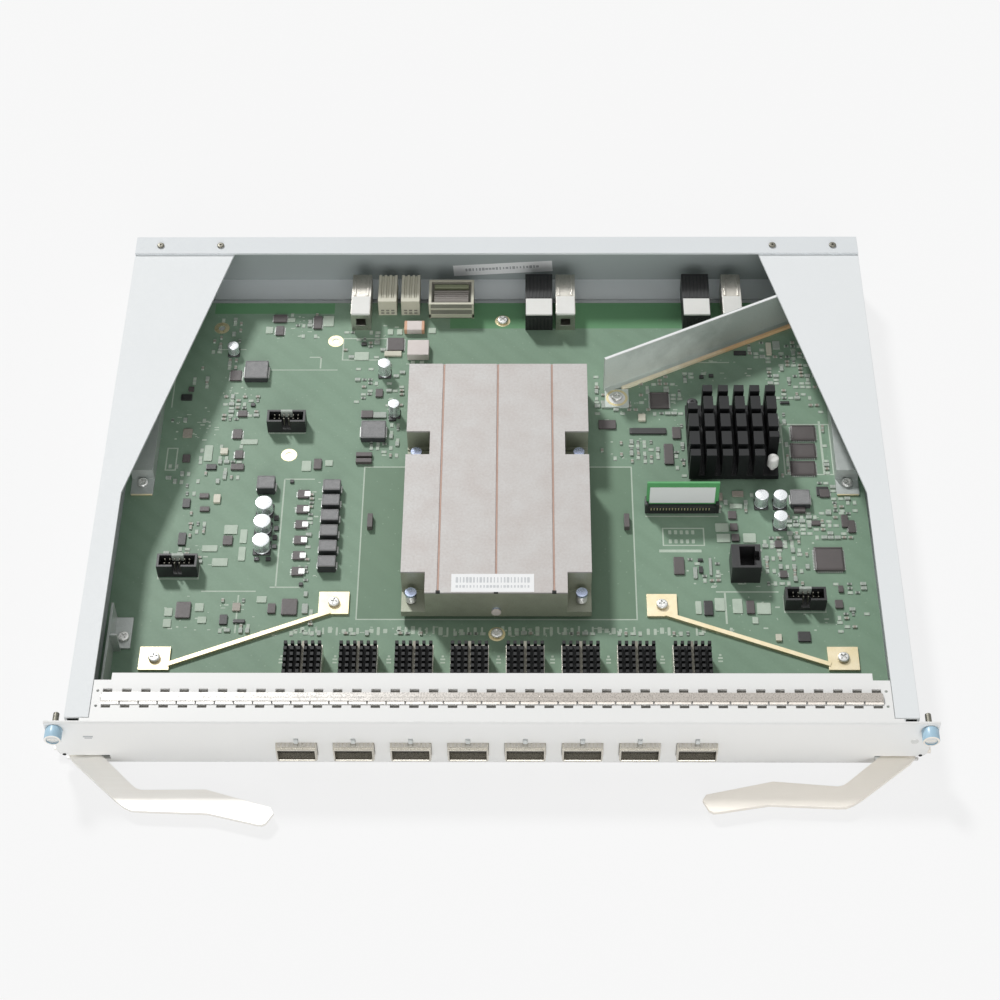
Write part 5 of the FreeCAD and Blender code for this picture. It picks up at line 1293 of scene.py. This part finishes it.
@dataclass(frozen=True)
class Connectors(SubAssembly):
    """Pins, contacts, shrouds and prints on the headers, jack, ports and rear connectors."""

    pin_mm: float = 0.64
    pin_pitch: float = 2.54
    finger_mm: float = 1.1

    def build(self) -> None:
        """Makes the details of every connector."""
        self.header_pins()
        self.jack_contacts()
        self.port_lips()
        self.signal_faces()
        self.backplane_pins()
        self.power_tops()
        self.guide_tops()
        self.memory_parts()

    def post(self, height: float) -> bpy.types.Object:
        """Models one square pin with a chamfered tip, its foot at the origin."""
        half = self.pin_mm / 2
        piece = Bench.slab("pin", Extent(-half, half, -half, half, 0, height), soft=0)
        Bench.pick(piece, upward)
        bpy.ops.mesh.inset(thickness=0.12 * MM, depth=0.2 * MM)
        Bench.close()
        return piece

    def header_pins(self) -> None:
        """Stands two rows of dark tinned pins in each box header and a grey key in its wall."""
        places = []
        keys = []
        for box in islands("box_headers"):
            x, y, _ = box.middle
            for column in range(6):
                for row in (-0.5, 0.5):
                    places.append(at(x + (column - 2.5) * self.pin_pitch, y + row * self.pin_pitch,
                                     BOARD_TOP + 2.4))
            keys.append(Bench.slab("key", Extent(x - 3.2, x + 3.2, box.y1 - 1.5, box.y1 + 0.2, box.z1 - 4.5,
                                                 box.z1 + 0.15), soft=0.2))
        pins = Bench.stamp(self.post(5.6), places, "header_pins")
        self.hand_over(pins, "dark_tin", "connector_black")
        key = Bench.merge(keys, "header_keys")
        self.hand_over(key, "ceramic_grey", "connector_black")

    def jack_contacts(self) -> None:
        """Lays eight sprung contacts down the jack's front wall."""
        box = node_extent("console_jack")
        x, y, _ = box.middle
        wires = []
        for number in range(PORTS):
            across = x - 1.2 + (number - 3.5) * 1.02
            wires.append(Bench.slab("contact", Extent(across - 0.2, across + 0.2, box.y0 + 1.5, box.y0 + 2.0,
                                                      box.z1 - 9.5, box.z1 - 1.2), soft=0.08))
        piece = Bench.merge(wires, "jack_contacts")
        self.hand_over(piece, "gold", "connector_black")

    def port_lips(self) -> None:
        """Adds the sprung fingers round each cage mouth, the bright lip under it, and a grey back in the
        mouth painted with shade that darkens upwards.
        """
        fingers, lips, shades = [], [], []
        for number in range(PORTS):
            box = node_extent(f"port_cage_{number + 1}")
            front = box.y0
            top = BOARD_TOP + 9.7
            x = box.middle[0]
            for place in range(9):
                across = x + (place - 4) * 2.05
                fingers.append(at(across, front + 5.0, top + 0.33))
                fingers.append(at(across, front + 5.0, BOARD_TOP - 0.33, 0, (1, 1, -1)))
            lips.append(Bench.slab("lip", Extent(x - 9.0, x + 9.0, front - 0.0, front + 0.9, BOARD_TOP + 0.5,
                                                 BOARD_TOP + 1.1), soft=0.2))
            # Painted shade: a grey back in each mouth, darkening upwards under the cage roof.
            shades.append(Bench.slab("shade",
                                     Extent(x - 8.9, x + 8.9, front + 4.6, front + 5.0, BOARD_TOP + 0.8,
                                                     BOARD_TOP + 9.0), soft=0.1))
        model = Bench.slab("finger", Extent(-self.finger_mm / 2 - 0.2, self.finger_mm / 2 + 0.2, -3.4, 3.4, 0,
                                            0.35),
                           soft=0.12)
        piece = Bench.stamp(model, fingers, "cage_fingers")
        self.hand_over(piece, "collar", "cage_nickel")
        lip = Bench.merge(lips, "cage_lips")
        self.hand_over(lip, "tin", "cage_nickel")
        shade = Bench.merge(shades, "port_mouth_shade_backs")
        self.hand_over(shade, "port", "connector_black")

    def signal_faces(self) -> None:
        """Adds the ribbed rear shrouds and a white wafer band on the signal connectors."""
        bands, ribs = [], []
        for box in islands("signal_connectors"):
            x = box.middle[0]
            bands.append(Bench.slab("band", Extent(box.x0 + 0.3, box.x1 - 0.3, box.y0 - 0.3, box.y0 + 12.2,
                                                   box.z1 - 0.7, box.z1 + 0.4), soft=0.2))
            for number in range(7):
                across = x + (number - 3) * 2.0
                ribs.append(Bench.slab("rib", Extent(across - 0.45, across + 0.45, box.y0 + 13, box.y1 - 1.5,
                                                     box.z1 - 0.2, box.z1 + 0.35), soft=0.15))
                ribs.append(Bench.slab("rib", Extent(across - 0.45, across + 0.45, box.y0 - 0.35,
                                                     box.y0 + 0.2, box.z0 + 0.8, box.z1 - 3.2), soft=0.15))
        band = Bench.merge(bands, "signal_wafers")
        self.hand_over(band, "white", "connector_cream")
        rib = Bench.merge(ribs, "signal_ribs")
        self.hand_over(rib, "epoxy_black", "connector_black")

    def backplane_pins(self) -> None:
        """Frames the backplane header in cream, with its wafer block and key strip set in the recess."""
        box = node_extent("backplane_header")
        rim = 1.4
        edge = Bench.frame_of("backplane_frame",
                              Extent(box.x0, box.x1, box.y0, box.y1, box.z1, box.z1 + 0.25), rim)
        sill = Bench.slab("sill", Extent(box.x0, box.x1, box.y0 - 0.2, box.y0 + 0.2, box.z0 + 0.6,
                                         box.z0 + 3.4), soft=0.1)
        lip = Bench.slab("lip", Extent(box.x0, box.x1, box.y0 - 0.25, box.y0 + 0.2, box.z1 - 4.2,
                                       box.z1 - 3.0), soft=0.1)
        posts = [Bench.slab("post", Extent(min(x, x + side), max(x, x + side), box.y0 - 0.2, box.y0 + 0.2,
                                           box.z0,
                                           box.z1), soft=0.1) for x, side in ((box.x0, 1.1), (box.x1, -1.1))]
        piece = Bench.merge([edge, sill, lip] + posts, "backplane_frame")
        self.hand_over(piece, "cream", "connector_cream")
        strip = Bench.slab("backplane_key",
                           Extent(box.x0 + 3.0, box.x1 - 3.0, box.y1 - 5.4, box.y1 - 2.6, box.z1 - 3.0,
                                                   box.z1 - 0.8), soft=0.2)
        self.hand_over(strip, "olive", "connector_cream")
        wafers = [Bench.slab("wafer", Extent(box.x0 + 3.0, box.x1 - 3.0, box.y0 + 2.6 + number * 1.5,
                                             box.y0 + 3.7 + number * 1.5, box.z1 - 3.0, box.z1 - 0.3),
                                             soft=0.15)
                  for number in range(int((box.size[1] - 9.5) / 1.5))]
        block = Bench.merge(wafers, "backplane_wafers")
        self.hand_over(block, "wafer", "connector_black")

    def power_tops(self) -> None:
        """Sets pale contacts in the slots of the power connectors and small marks low on their fronts."""
        blades, marks = [], []
        for box in islands("power_connectors"):
            x = box.middle[0]
            for side in (-1, 0, 1):
                blades.append(Bench.slab("blade",
                                         Extent(x + side * 2.9 - 0.6, x + side * 2.9 + 0.6, box.y0 + 2.6,
                                                         box.y1 - 0.4, box.z1 - 2.7, box.z1 - 0.35),
                                                         soft=0.15))
                for low in (1.2, 3.2):
                    marks.append(Bench.slab("mark",
                                            Extent(x + side * 2.9 - 0.9, x + side * 2.9 + 0.9, box.y0 - 0.12,
                                                           box.y0 + 0.2, box.z0 + low, box.z0 + low + 1.2),
                                                           soft=0.1))
        for pieces, name, finish in ((blades, "power_blades", "cream"), (marks, "power_marks", "drab")):
            piece = Bench.merge(pieces, name)
            self.hand_over(piece, finish, "connector_cream")

    def guide_tops(self) -> None:
        """Adds a pale plate over the front of each guide module and two ribs behind it."""
        parts, plates = [], []
        for box in islands("guide_modules"):
            x = box.middle[0]
            plates.append(Bench.slab("plate", Extent(box.x0 + 0.2, box.x1 - 0.2, box.y0 - 0.2, box.y0 + 13.5,
                                                     box.z1 - 1.2, box.z1 + 0.3), soft=0.3, steps=2))
            for side in (-1, 1):
                parts.append(Bench.slab("rib", Extent(x + side * 3.6 - 0.6, x + side * 3.6 + 0.6, box.y0 + 14,
                                                      box.y1 - 1, box.z1 - 0.2, box.z1 + 0.5), soft=0.2))
        for pieces, name, finish in ((parts, "guide_ribs", "casting"), (plates, "guide_plates", "white")):
            piece = Bench.merge(pieces, name)
            self.hand_over(piece, finish, "guide_zinc")

    def memory_parts(self) -> None:
        """Adds memory chips behind, a plain label in front, latches and gold edge contacts."""
        board = node_extent("memory_module")
        socket = node_extent("memory_socket")
        chips = [Bench.slab("chip", Extent(board.x0 + 2.4 + number * 8.8, board.x0 + 9.2 + number * 8.8,
                                           front, back, board.z1 - 11.5, board.z1 - 2.2), soft=0.15)
                 for number in range(4) for front, back in ((board.y1, board.y1 + 1.0),)]
        piece = Bench.merge(chips, "memory_chips")
        self.hand_over(piece, "epoxy_black", "chip_black")
        label = Bench.slab("memory_label", Extent(board.x0 + 1.6, board.x1 - 2.0, board.y0 - 0.16, board.y0,
                                                  socket.z1 + 1.0, board.z1 - 3.4), soft=0.04)
        self.hand_over(label, "label", "push_pin_white")
        latches = [Bench.slab("latch",
                              Extent(x - 0.9, x + 0.9, socket.y0 - 0.1, socket.y1 + 0.1, socket.z0,
                                     socket.z1 + 2.2),
                              soft=0.4, steps=2) for x in (socket.x0 - 0.9, socket.x1 + 0.9)]
        piece = Bench.merge(latches, "memory_latches")
        self.hand_over(piece, "black", "connector_black")
        line = Bench.slab("socket_line",
                          Extent(socket.x0 - 1.5, socket.x1 + 1.5, socket.y0 - 2.2, socket.y0 - 1.6,
                                                BOARD_TOP, BOARD_TOP + 0.05), soft=0.01)
        self.hand_over(line, "silk", "board_green")
        contacts = Bench.slab("contact", Extent(-0.28, 0.28, -0.06, 0.06, 0, 1.7), soft=0.02)
        places = [at(socket.x0 + 1.4 + number * 1.6, socket.y0 - 0.04, socket.z1 - 2.4)
                  for number in range(int((socket.size[0] - 2) / 1.6))]
        piece = Bench.stamp(contacts, places, "edge_contacts")
        self.hand_over(piece, "gold", "stiffener_gold")


# ---------------------------------------------------------------- sheet and heat sink details

@dataclass(frozen=True)
class SheetDetails(SubAssembly):
    """Groove strips and notches of the cover, the baffle's foot, highlight edge and washer, the gasket's gap
    fill, rail edges, the shade sheets under the slots and in the channel ends, and the screw cap.
    """

    groove_pitch: float = 29.15
    groove_wide: float = 0.9
    baffle_turn: float = 26.2
    baffle_run: float = 128.5

    def build(self) -> None:
        """Makes the details of the cover, the baffle, the gasket and the rails."""
        self.cover_grooves()
        self.baffle_foot()
        self.gasket_gap_fill()
        self.rail_edges()
        self.slot_shade_sheet()
        self.sink_screw()
        self.channel_end_shades()

    def cover_grooves(self) -> None:
        """Lays bare copper in the cover's three grooves and a dark notch at each front end."""
        cover = node_extent("heatsink_cover")
        x, _, _ = cover.middle
        strips, notches = [], []
        for step in (-1, 0, 1):
            middle = x + step * self.groove_pitch
            strips.append(Bench.slab("groove",
                                     Extent(middle - self.groove_wide / 2, middle + self.groove_wide / 2,
                                                      cover.y0 + 0.3, cover.y1 - 0.3, cover.z1 - 0.38,
                                                      cover.z1 - 0.3),
                                     soft=0.02))
            notches.append(Bench.slab("notch",
                                      Extent(middle - 1.1, middle + 1.1, cover.y0 - 0.05, cover.y0 + 1.4,
                                                      cover.z1 - 0.9, cover.z1 + 0.03), soft=0.02))
        piece = Bench.merge(strips, "cover_grooves")
        self.hand_over(piece, "copper", "heatsink_metal")
        piece = Bench.merge(notches, "cover_notches")
        self.hand_over(piece, "dark", "heatsink_metal")

    def baffle_foot(self) -> None:
        """Runs a gold strip along the baffle's foot, a white painted highlight along its top edge, and sets a
        pale washer in a gold ring on its tab.
        """
        screw = min(islands("board_screws"),
                    key=lambda box: math.hypot(box.middle[0] - 66.7, box.middle[1] - 66))
        x, y, _ = screw.middle
        start = at(x - 6.9, y + 6.6, BOARD_TOP, self.baffle_turn)
        foot = Bench.slab("foot", Extent(9, self.baffle_run, -4.9, -2.9, 0, 2.0), soft=0.2)
        piece = Bench.stamp(foot, [start], "baffle_foot")
        self.hand_over(piece, "foot_gold", "stiffener_gold")
        # Painted highlight: a white strip along the baffle's top edge where it catches light.
        edge = Bench.slab("edge", Extent(0, self.baffle_run, -0.65, 0.65, 25.2, 25.75), soft=0.1)
        piece = Bench.stamp(edge, [start], "baffle_edge_painted_highlight")
        self.hand_over(piece, "label", "baffle_metal")
        top = BOARD_TOP + 1.2
        ring = Bench.stamp(BoardPrint.ring((0, 0, 0), 6.0, 4.6), [at(x, y, top)], "baffle_ring")
        self.hand_over(ring, "gold", "stiffener_gold")
        washer = Bench.stamp(BoardPrint.ring((0, 0, 0), 4.6, 1.7), [at(x, y, top)], "baffle_washer")
        self.hand_over(washer, "label", "baffle_metal")

    def gasket_gap_fill(self) -> None:
        """Runs a pale sheet under the gasket's segments: painted light, so their gaps show pale instead of
        shade.
        """
        strip = node_extent("gasket_strip")
        core = Bench.slab("gasket_gap_fill",
                          Extent(strip.x0 + 0.6, strip.x1 - 0.6, strip.y0 + 0.8, strip.y1 - 0.8,
                                                strip.z1 - 0.6, strip.z1 - 0.08), soft=0.05)
        self.hand_over(core, "gasket", "gasket_metal")

    def slot_shade_sheet(self) -> None:
        """Sets a grey sheet under both rows of slots, as painted shade seen through them."""
        strip, panel = node_extent("gasket_strip"), node_extent("front_panel")
        under = panel.z1 - 1.25
        liner = [Bench.slab("liner", Extent(strip.x0, strip.x1, y - 1.7, y + 1.7, under - 0.5, under - 0.1),
                            soft=0.05)
                 for y in (panel.y0 + 10, panel.y0 + 18.7)]
        piece = Bench.merge(liner, "slot_shade_sheet")
        self.hand_over(piece, "liner", "gasket_metal")

    def channel_end_shades(self) -> None:
        """Closes the front end of each side channel with a dark sheet, painted shade inside the channel."""
        feet = []
        for side in ("left", "right"):
            box = node_extent(f"box_side_{side}")
            outer = box.x0 if side == "left" else box.x1
            inner = outer + (6.6 if side == "left" else -6.6)
            feet.append(Bench.slab("foot",
                                   Extent(min(inner, outer) + 0.3, max(inner, outer) - 0.3, box.y0 + 0.15,
                                                  box.y0 + 0.7, box.z1 - 5.2, box.z1 - 1.1), soft=0.1))
        piece = Bench.merge(feet, "channel_end_shades")
        self.hand_over(piece, "dark", "box_paint")

    def sink_screw(self) -> None:
        """Caps the main heat sink's front screw with its cream head."""
        screw = min(islands("heatsink_screws"), key=lambda box: box.y0)
        x, _, z = screw.middle
        head = Bench.turned("sink_screw", (x, screw.y0 - 0.2, z), 2.5, 1.0, Axis.BACK, 28, 0.35, 2)
        Bench.carve(head, Bench.slab("tool",
                                     Extent(x - 0.35, x + 0.35, screw.y0 - 1.5, screw.y0 - 0.4, z - 3, z + 3),
                                     soft=0))
        Bench.smooth(head)
        self.hand_over(head, "pale_block", "pin_steel")

    def rail_edges(self) -> None:
        """Edges the front of each rail tab with its gold plating."""
        edges = []
        for node in ("side_rail_left", "side_rail_right", "corner_bracket"):
            box = node_extent(node)
            edges.append(Bench.slab("edge",
                                    Extent(box.x0 + 0.3, box.x1 - 0.3, box.y0 - 0.5, box.y0 + 0.4, BOARD_TOP,
                                                   BOARD_TOP + 1.15), soft=0.15))
        piece = Bench.merge(edges, "rail_edges")
        self.hand_over(piece, "passivate", "rail_steel")


# ---------------------------------------------------------------- labels and panel marks

@dataclass(frozen=True)
class Labels(SubAssembly):
    """Plain labels with generic bars, and the small marks on the front panel."""

    def build(self) -> None:
        """Makes the cover label, the rear wall label and the panel marks."""
        top = node_extent("heatsink_cover").z1
        self.label("cover_label", Extent(-20.8, 20.8, -83.1, -71.8, top, top + 0.12), rows=2, bars=22)
        self.rear_label()
        self.panel_marks()

    def label(self, name: str, box: Extent, rows: int, bars: int) -> None:
        """Makes a flat label with rows of generic bars.

        Args:
            name: the piece's name.
            box: the label's own box.
            rows: rows of bars.
            bars: bars in each row.
        """
        sheet = Bench.slab(name, box, soft=0.04)
        self.hand_over(sheet, "label", "push_pin_white")
        width, length, _ = box.size
        rng = random.Random(SEED + bars)
        model = Bench.slab("bar", Extent(-0.5, 0.5, -0.5, 0.5, 0, 1), soft=0.1)
        pitch = (width - 4) / bars
        places = []
        for row in range(rows):
            y = box.y1 - length * (0.34 + row * 0.36)
            tall = length * (0.30 if row == 0 else 0.14)
            places += [at(box.x0 + 2 + (number + 0.5) * pitch, y, box.z1, 0,
                          (pitch * rng.choice((0.35, 0.5, 0.75)), tall, 0.03)) for number in range(bars)]
        print_piece = Bench.stamp(model, places, f"{name}_bars")
        self.hand_over(print_piece, "ink_pale", "push_pin_white")

    def rear_label(self) -> None:
        """Makes the painted shade sheet and the slanted label on the inside of the box's rear wall."""
        wall = node_extent("box_rear_bar")
        inner = wall.y1 - 1.2
        # Painted shade: a grey sheet over the rear wall's inside, darkening upwards under the fold.
        lining = Bench.slab("bay_painted_shade_sheet",
                            Extent(wall.x0 + 1.5, wall.x1 - 1.5, inner - 0.05, inner, 1.4, wall.z1 - 1.4),
                            soft=0.02)
        self.hand_over(lining, "bay", "box_paint")
        inner -= 0.05
        sheet = Bench.slab("rear_label", Extent(-28.5, 28.5, inner - 0.12, inner, -4.2, 4.2), soft=0.04)
        turn = Matrix.Translation((3.6, 0, 11.4)) @ Matrix.Rotation(math.radians(-4.0), 4, "Y")
        model = Bench.slab("bar", Extent(-0.5, 0.5, 0, 1, -0.5, 0.5), soft=0.1)
        rng = random.Random(SEED + 5)
        bars = [turn @ Matrix.Translation((-21 + number * 1.95, inner - 0.15, 0.3))
                @ Matrix.Diagonal((rng.choice((0.8, 1.2, 1.6)), 0.03, rng.choice((1.6, 2.2)),
                                   1)) for number in range(22)]
        sheet = Bench.stamp(sheet, [turn], "rear_label")
        self.hand_over(sheet, "label", "push_pin_white")
        piece = Bench.stamp(model, bars, "rear_label_bars")
        self.hand_over(piece, "ink", "push_pin_white")

    def panel_marks(self) -> None:
        """Makes the ringed mark, the small square mark and the two drain holes on the panel's face."""
        face = node_extent("front_panel").y0
        marks = [Bench.slab("mark", Extent(-195.6, -192.0, 0.4, 1.1, 0, 0.05), soft=0.02),
                 Bench.slab("mark", Extent(-196.2, -191.4, 1.5, 2.6, 0, 0.05), soft=0.02)]
        piece = Bench.merge(marks, "mark")
        stand = Matrix.Translation((0, face, 20.2)) @ Matrix.Rotation(math.radians(90), 4, "X")
        piece = Bench.stamp(piece, [stand], "panel_mark")
        self.hand_over(piece, "ink", "panel_paint")
        for name, x, z, radius, finish in (("panel_ring", 203.2, 19, 2.0, "steel"),
                                           ("drain_left", -207.5, 6.6, 0.9, "dark"),
                                           ("drain_right", 207.5, 6.6, 0.9, "dark")):
            ring = Bench.turned(name, (x, face - 0.05, z), radius, 0.25, Axis.BACK, 28, 0.08, 1)
            Bench.sink(ring, lambda centre, normal: normal.y < -0.9, radius * 0.3, 0.12)
            self.hand_over(ring, finish, "panel_paint")


# ---------------------------------------------------------------- studio

@dataclass(frozen=True)
class Studio:
    """Camera, lamps, world and the pale table top."""

    spot: Point = (14.88, -746.45, 922.0)
    yaw: float = 0.9165
    pitch: float = 50.990
    roll: float = -0.698
    lens_mm: float = 80.03
    key_from: Point = (-0.52, 0.96, 1.0)
    key_strength: float = 2.35
    key_angle: float = 8.6
    fill_from: Point = (0.0, -0.94, 0.342)
    fill_strength: float = 1.25
    fill_angle: float = 40.0
    sky: float = 0.32

    def build(self) -> None:
        """Sets the whole studio."""
        bpy.context.scene.view_settings.view_transform = "Standard"
        self.camera()
        self.lamp("key", self.key_from, self.key_strength, self.key_angle)
        self.lamp("fill", self.fill_from, self.fill_strength, self.fill_angle)
        self.world()
        self.table()

    def camera(self) -> None:
        """Stands the camera above the front, turned a little and rolled a little."""
        yaw, pitch, roll = (math.radians(angle) for angle in (self.yaw, self.pitch, self.roll))
        ahead = Vector((-math.sin(yaw) * math.cos(pitch), math.cos(yaw) * math.cos(pitch), -math.sin(pitch)))
        level = Vector((math.cos(yaw), math.sin(yaw), 0))
        upright = level.cross(ahead)
        right = math.cos(roll) * level + math.sin(roll) * upright
        up = -math.sin(roll) * level + math.cos(roll) * upright
        lens = bpy.data.cameras.new("camera")
        lens.lens, lens.sensor_width = self.lens_mm, 36.0
        lens.clip_start, lens.clip_end = 0.05, 20
        holder = bpy.data.objects.new("camera", lens)
        turn = Matrix((right, up, -ahead)).transposed()
        holder.matrix_world = Matrix.Translation(Vector(self.spot) * MM) @ turn.to_4x4()
        bpy.context.collection.objects.link(holder)
        bpy.context.scene.camera = holder

    @staticmethod
    def lamp(name: str, source: Point, strength: float, angle: float) -> None:
        """Hangs one broad distant lamp.

        Args:
            name: the lamp's name.
            source: direction it stands in, seen from the card.
            strength: its strength.
            angle: how wide it looks, in degrees.
        """
        light = bpy.data.lights.new(name, "SUN")
        light.energy, light.angle = strength, math.radians(angle)
        holder = bpy.data.objects.new(name, light)
        holder.rotation_mode = "QUATERNION"
        holder.rotation_quaternion = (-Vector(source)).to_track_quat("-Z", "Y")
        bpy.context.collection.objects.link(holder)

    def world(self) -> None:
        """Lights softly all round, and shows white to the camera and to reflections."""
        made = bpy.data.worlds.new("studio")
        bpy.context.scene.world = made
        made.use_nodes = True
        tree = made.node_tree
        seen = self.seen(tree)
        strength = add_node(tree, "ShaderNodeMapRange", {"Value": seen, "To Min": self.sky, "To Max": 1.0})
        shader = tree.nodes["Background"]
        shader.inputs["Color"].default_value = colour("#FBFBFB")
        tree.links.new(strength.outputs[0], shader.inputs["Strength"])

    @staticmethod
    def seen(tree: bpy.types.NodeTree) -> bpy.types.NodeSocket:
        """Gives one for camera, glossy and transmission rays, and nothing for the rest."""
        path = add_node(tree, "ShaderNodeLightPath")
        first = add_node(tree, "ShaderNodeMath",
                         {0: path.outputs["Is Camera Ray"], 1: path.outputs["Is Glossy Ray"]},
                         operation="MAXIMUM")
        return add_node(tree, "ShaderNodeMath", {0: first.outputs[0], 1: path.outputs["Is Transmission Ray"]},
                        operation="MAXIMUM").outputs[0]

    def table(self) -> None:
        """Lays the pale table top, which keeps a soft part of the card's shadow."""
        Bench.clear()
        bpy.ops.mesh.primitive_plane_add(size=8, location=(0, 0, -0.0004))
        floor = Bench.settle("table_top")
        made = bpy.data.materials.new("white_paper_sweep")
        made.use_nodes = True
        tree = made.node_tree
        shader = tree.nodes["Principled BSDF"]
        shader.inputs["Base Color"].default_value = colour("#F2F2F2")
        shader.inputs["Roughness"].default_value = 0.9
        glow = add_node(tree, "ShaderNodeEmission", {"Color": colour("#F9F9F9"), "Strength": 1.0})
        share = add_node(tree, "ShaderNodeMath", {0: self.seen(tree), 1: 0.85}, operation="MULTIPLY")
        both = add_node(tree, "ShaderNodeMixShader",
                        {0: share.outputs[0], 1: shader.outputs[0], 2: glow.outputs[0]})
        tree.links.new(both.outputs[0], tree.nodes["Material Output"].inputs["Surface"])
        Bench.paint(floor, made)


# ---------------------------------------------------------------- all together

def keep_out() -> List[Extent]:
    """Lists the boxes on the board that small parts stay clear of."""
    taken = []
    for node in ("chips", "inductors", "capacitors", "box_headers", "power_connectors", "signal_connectors",
                 "guide_modules", "board_screws", "push_pins"):
        taken += islands(node)
    for node in ("console_jack", "memory_socket", "heatsink_base", "cpu_heatsink", "backplane_header",
                 "side_rail_left", "side_rail_right", "corner_bracket"):
        taken.append(node_extent(node))
    for number in range(PORTS):
        taken.append(node_extent(f"port_cage_{number + 1}"))
    taken += [around(x, y, 9.5, 9.5, 0, 1) for x, y in BoardPrint.rings]
    baffle = node_extent("air_baffle")
    taken += [Extent(baffle.x0 + share * 11.6, baffle.x0 + share * 11.6 + 14, baffle.y0 + 14 + share * 5.6,
                     baffle.y0 + 24 + share * 5.6, 0, 1) for share in range(10)]
    return taken


def main() -> None:
    """Dresses the card and builds its sub-assemblies in order."""
    logging.basicConfig(level=logging.INFO, format="%(name)s: %(message)s")
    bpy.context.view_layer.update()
    Studio().build()
    made = finishes()
    dress_solids(made)
    BoardPrint(made).build()
    SmallParts(made).build(keep_out())
    ChipBodies(made).build()
    ChipLeads(made).build()
    PowerStage(made).build()
    Fasteners(made).build()
    Connectors(made).build()
    SheetDetails(made).build()
    Labels(made).build()
    log.info("boxes written")


if __name__ == "__main__":
    main()
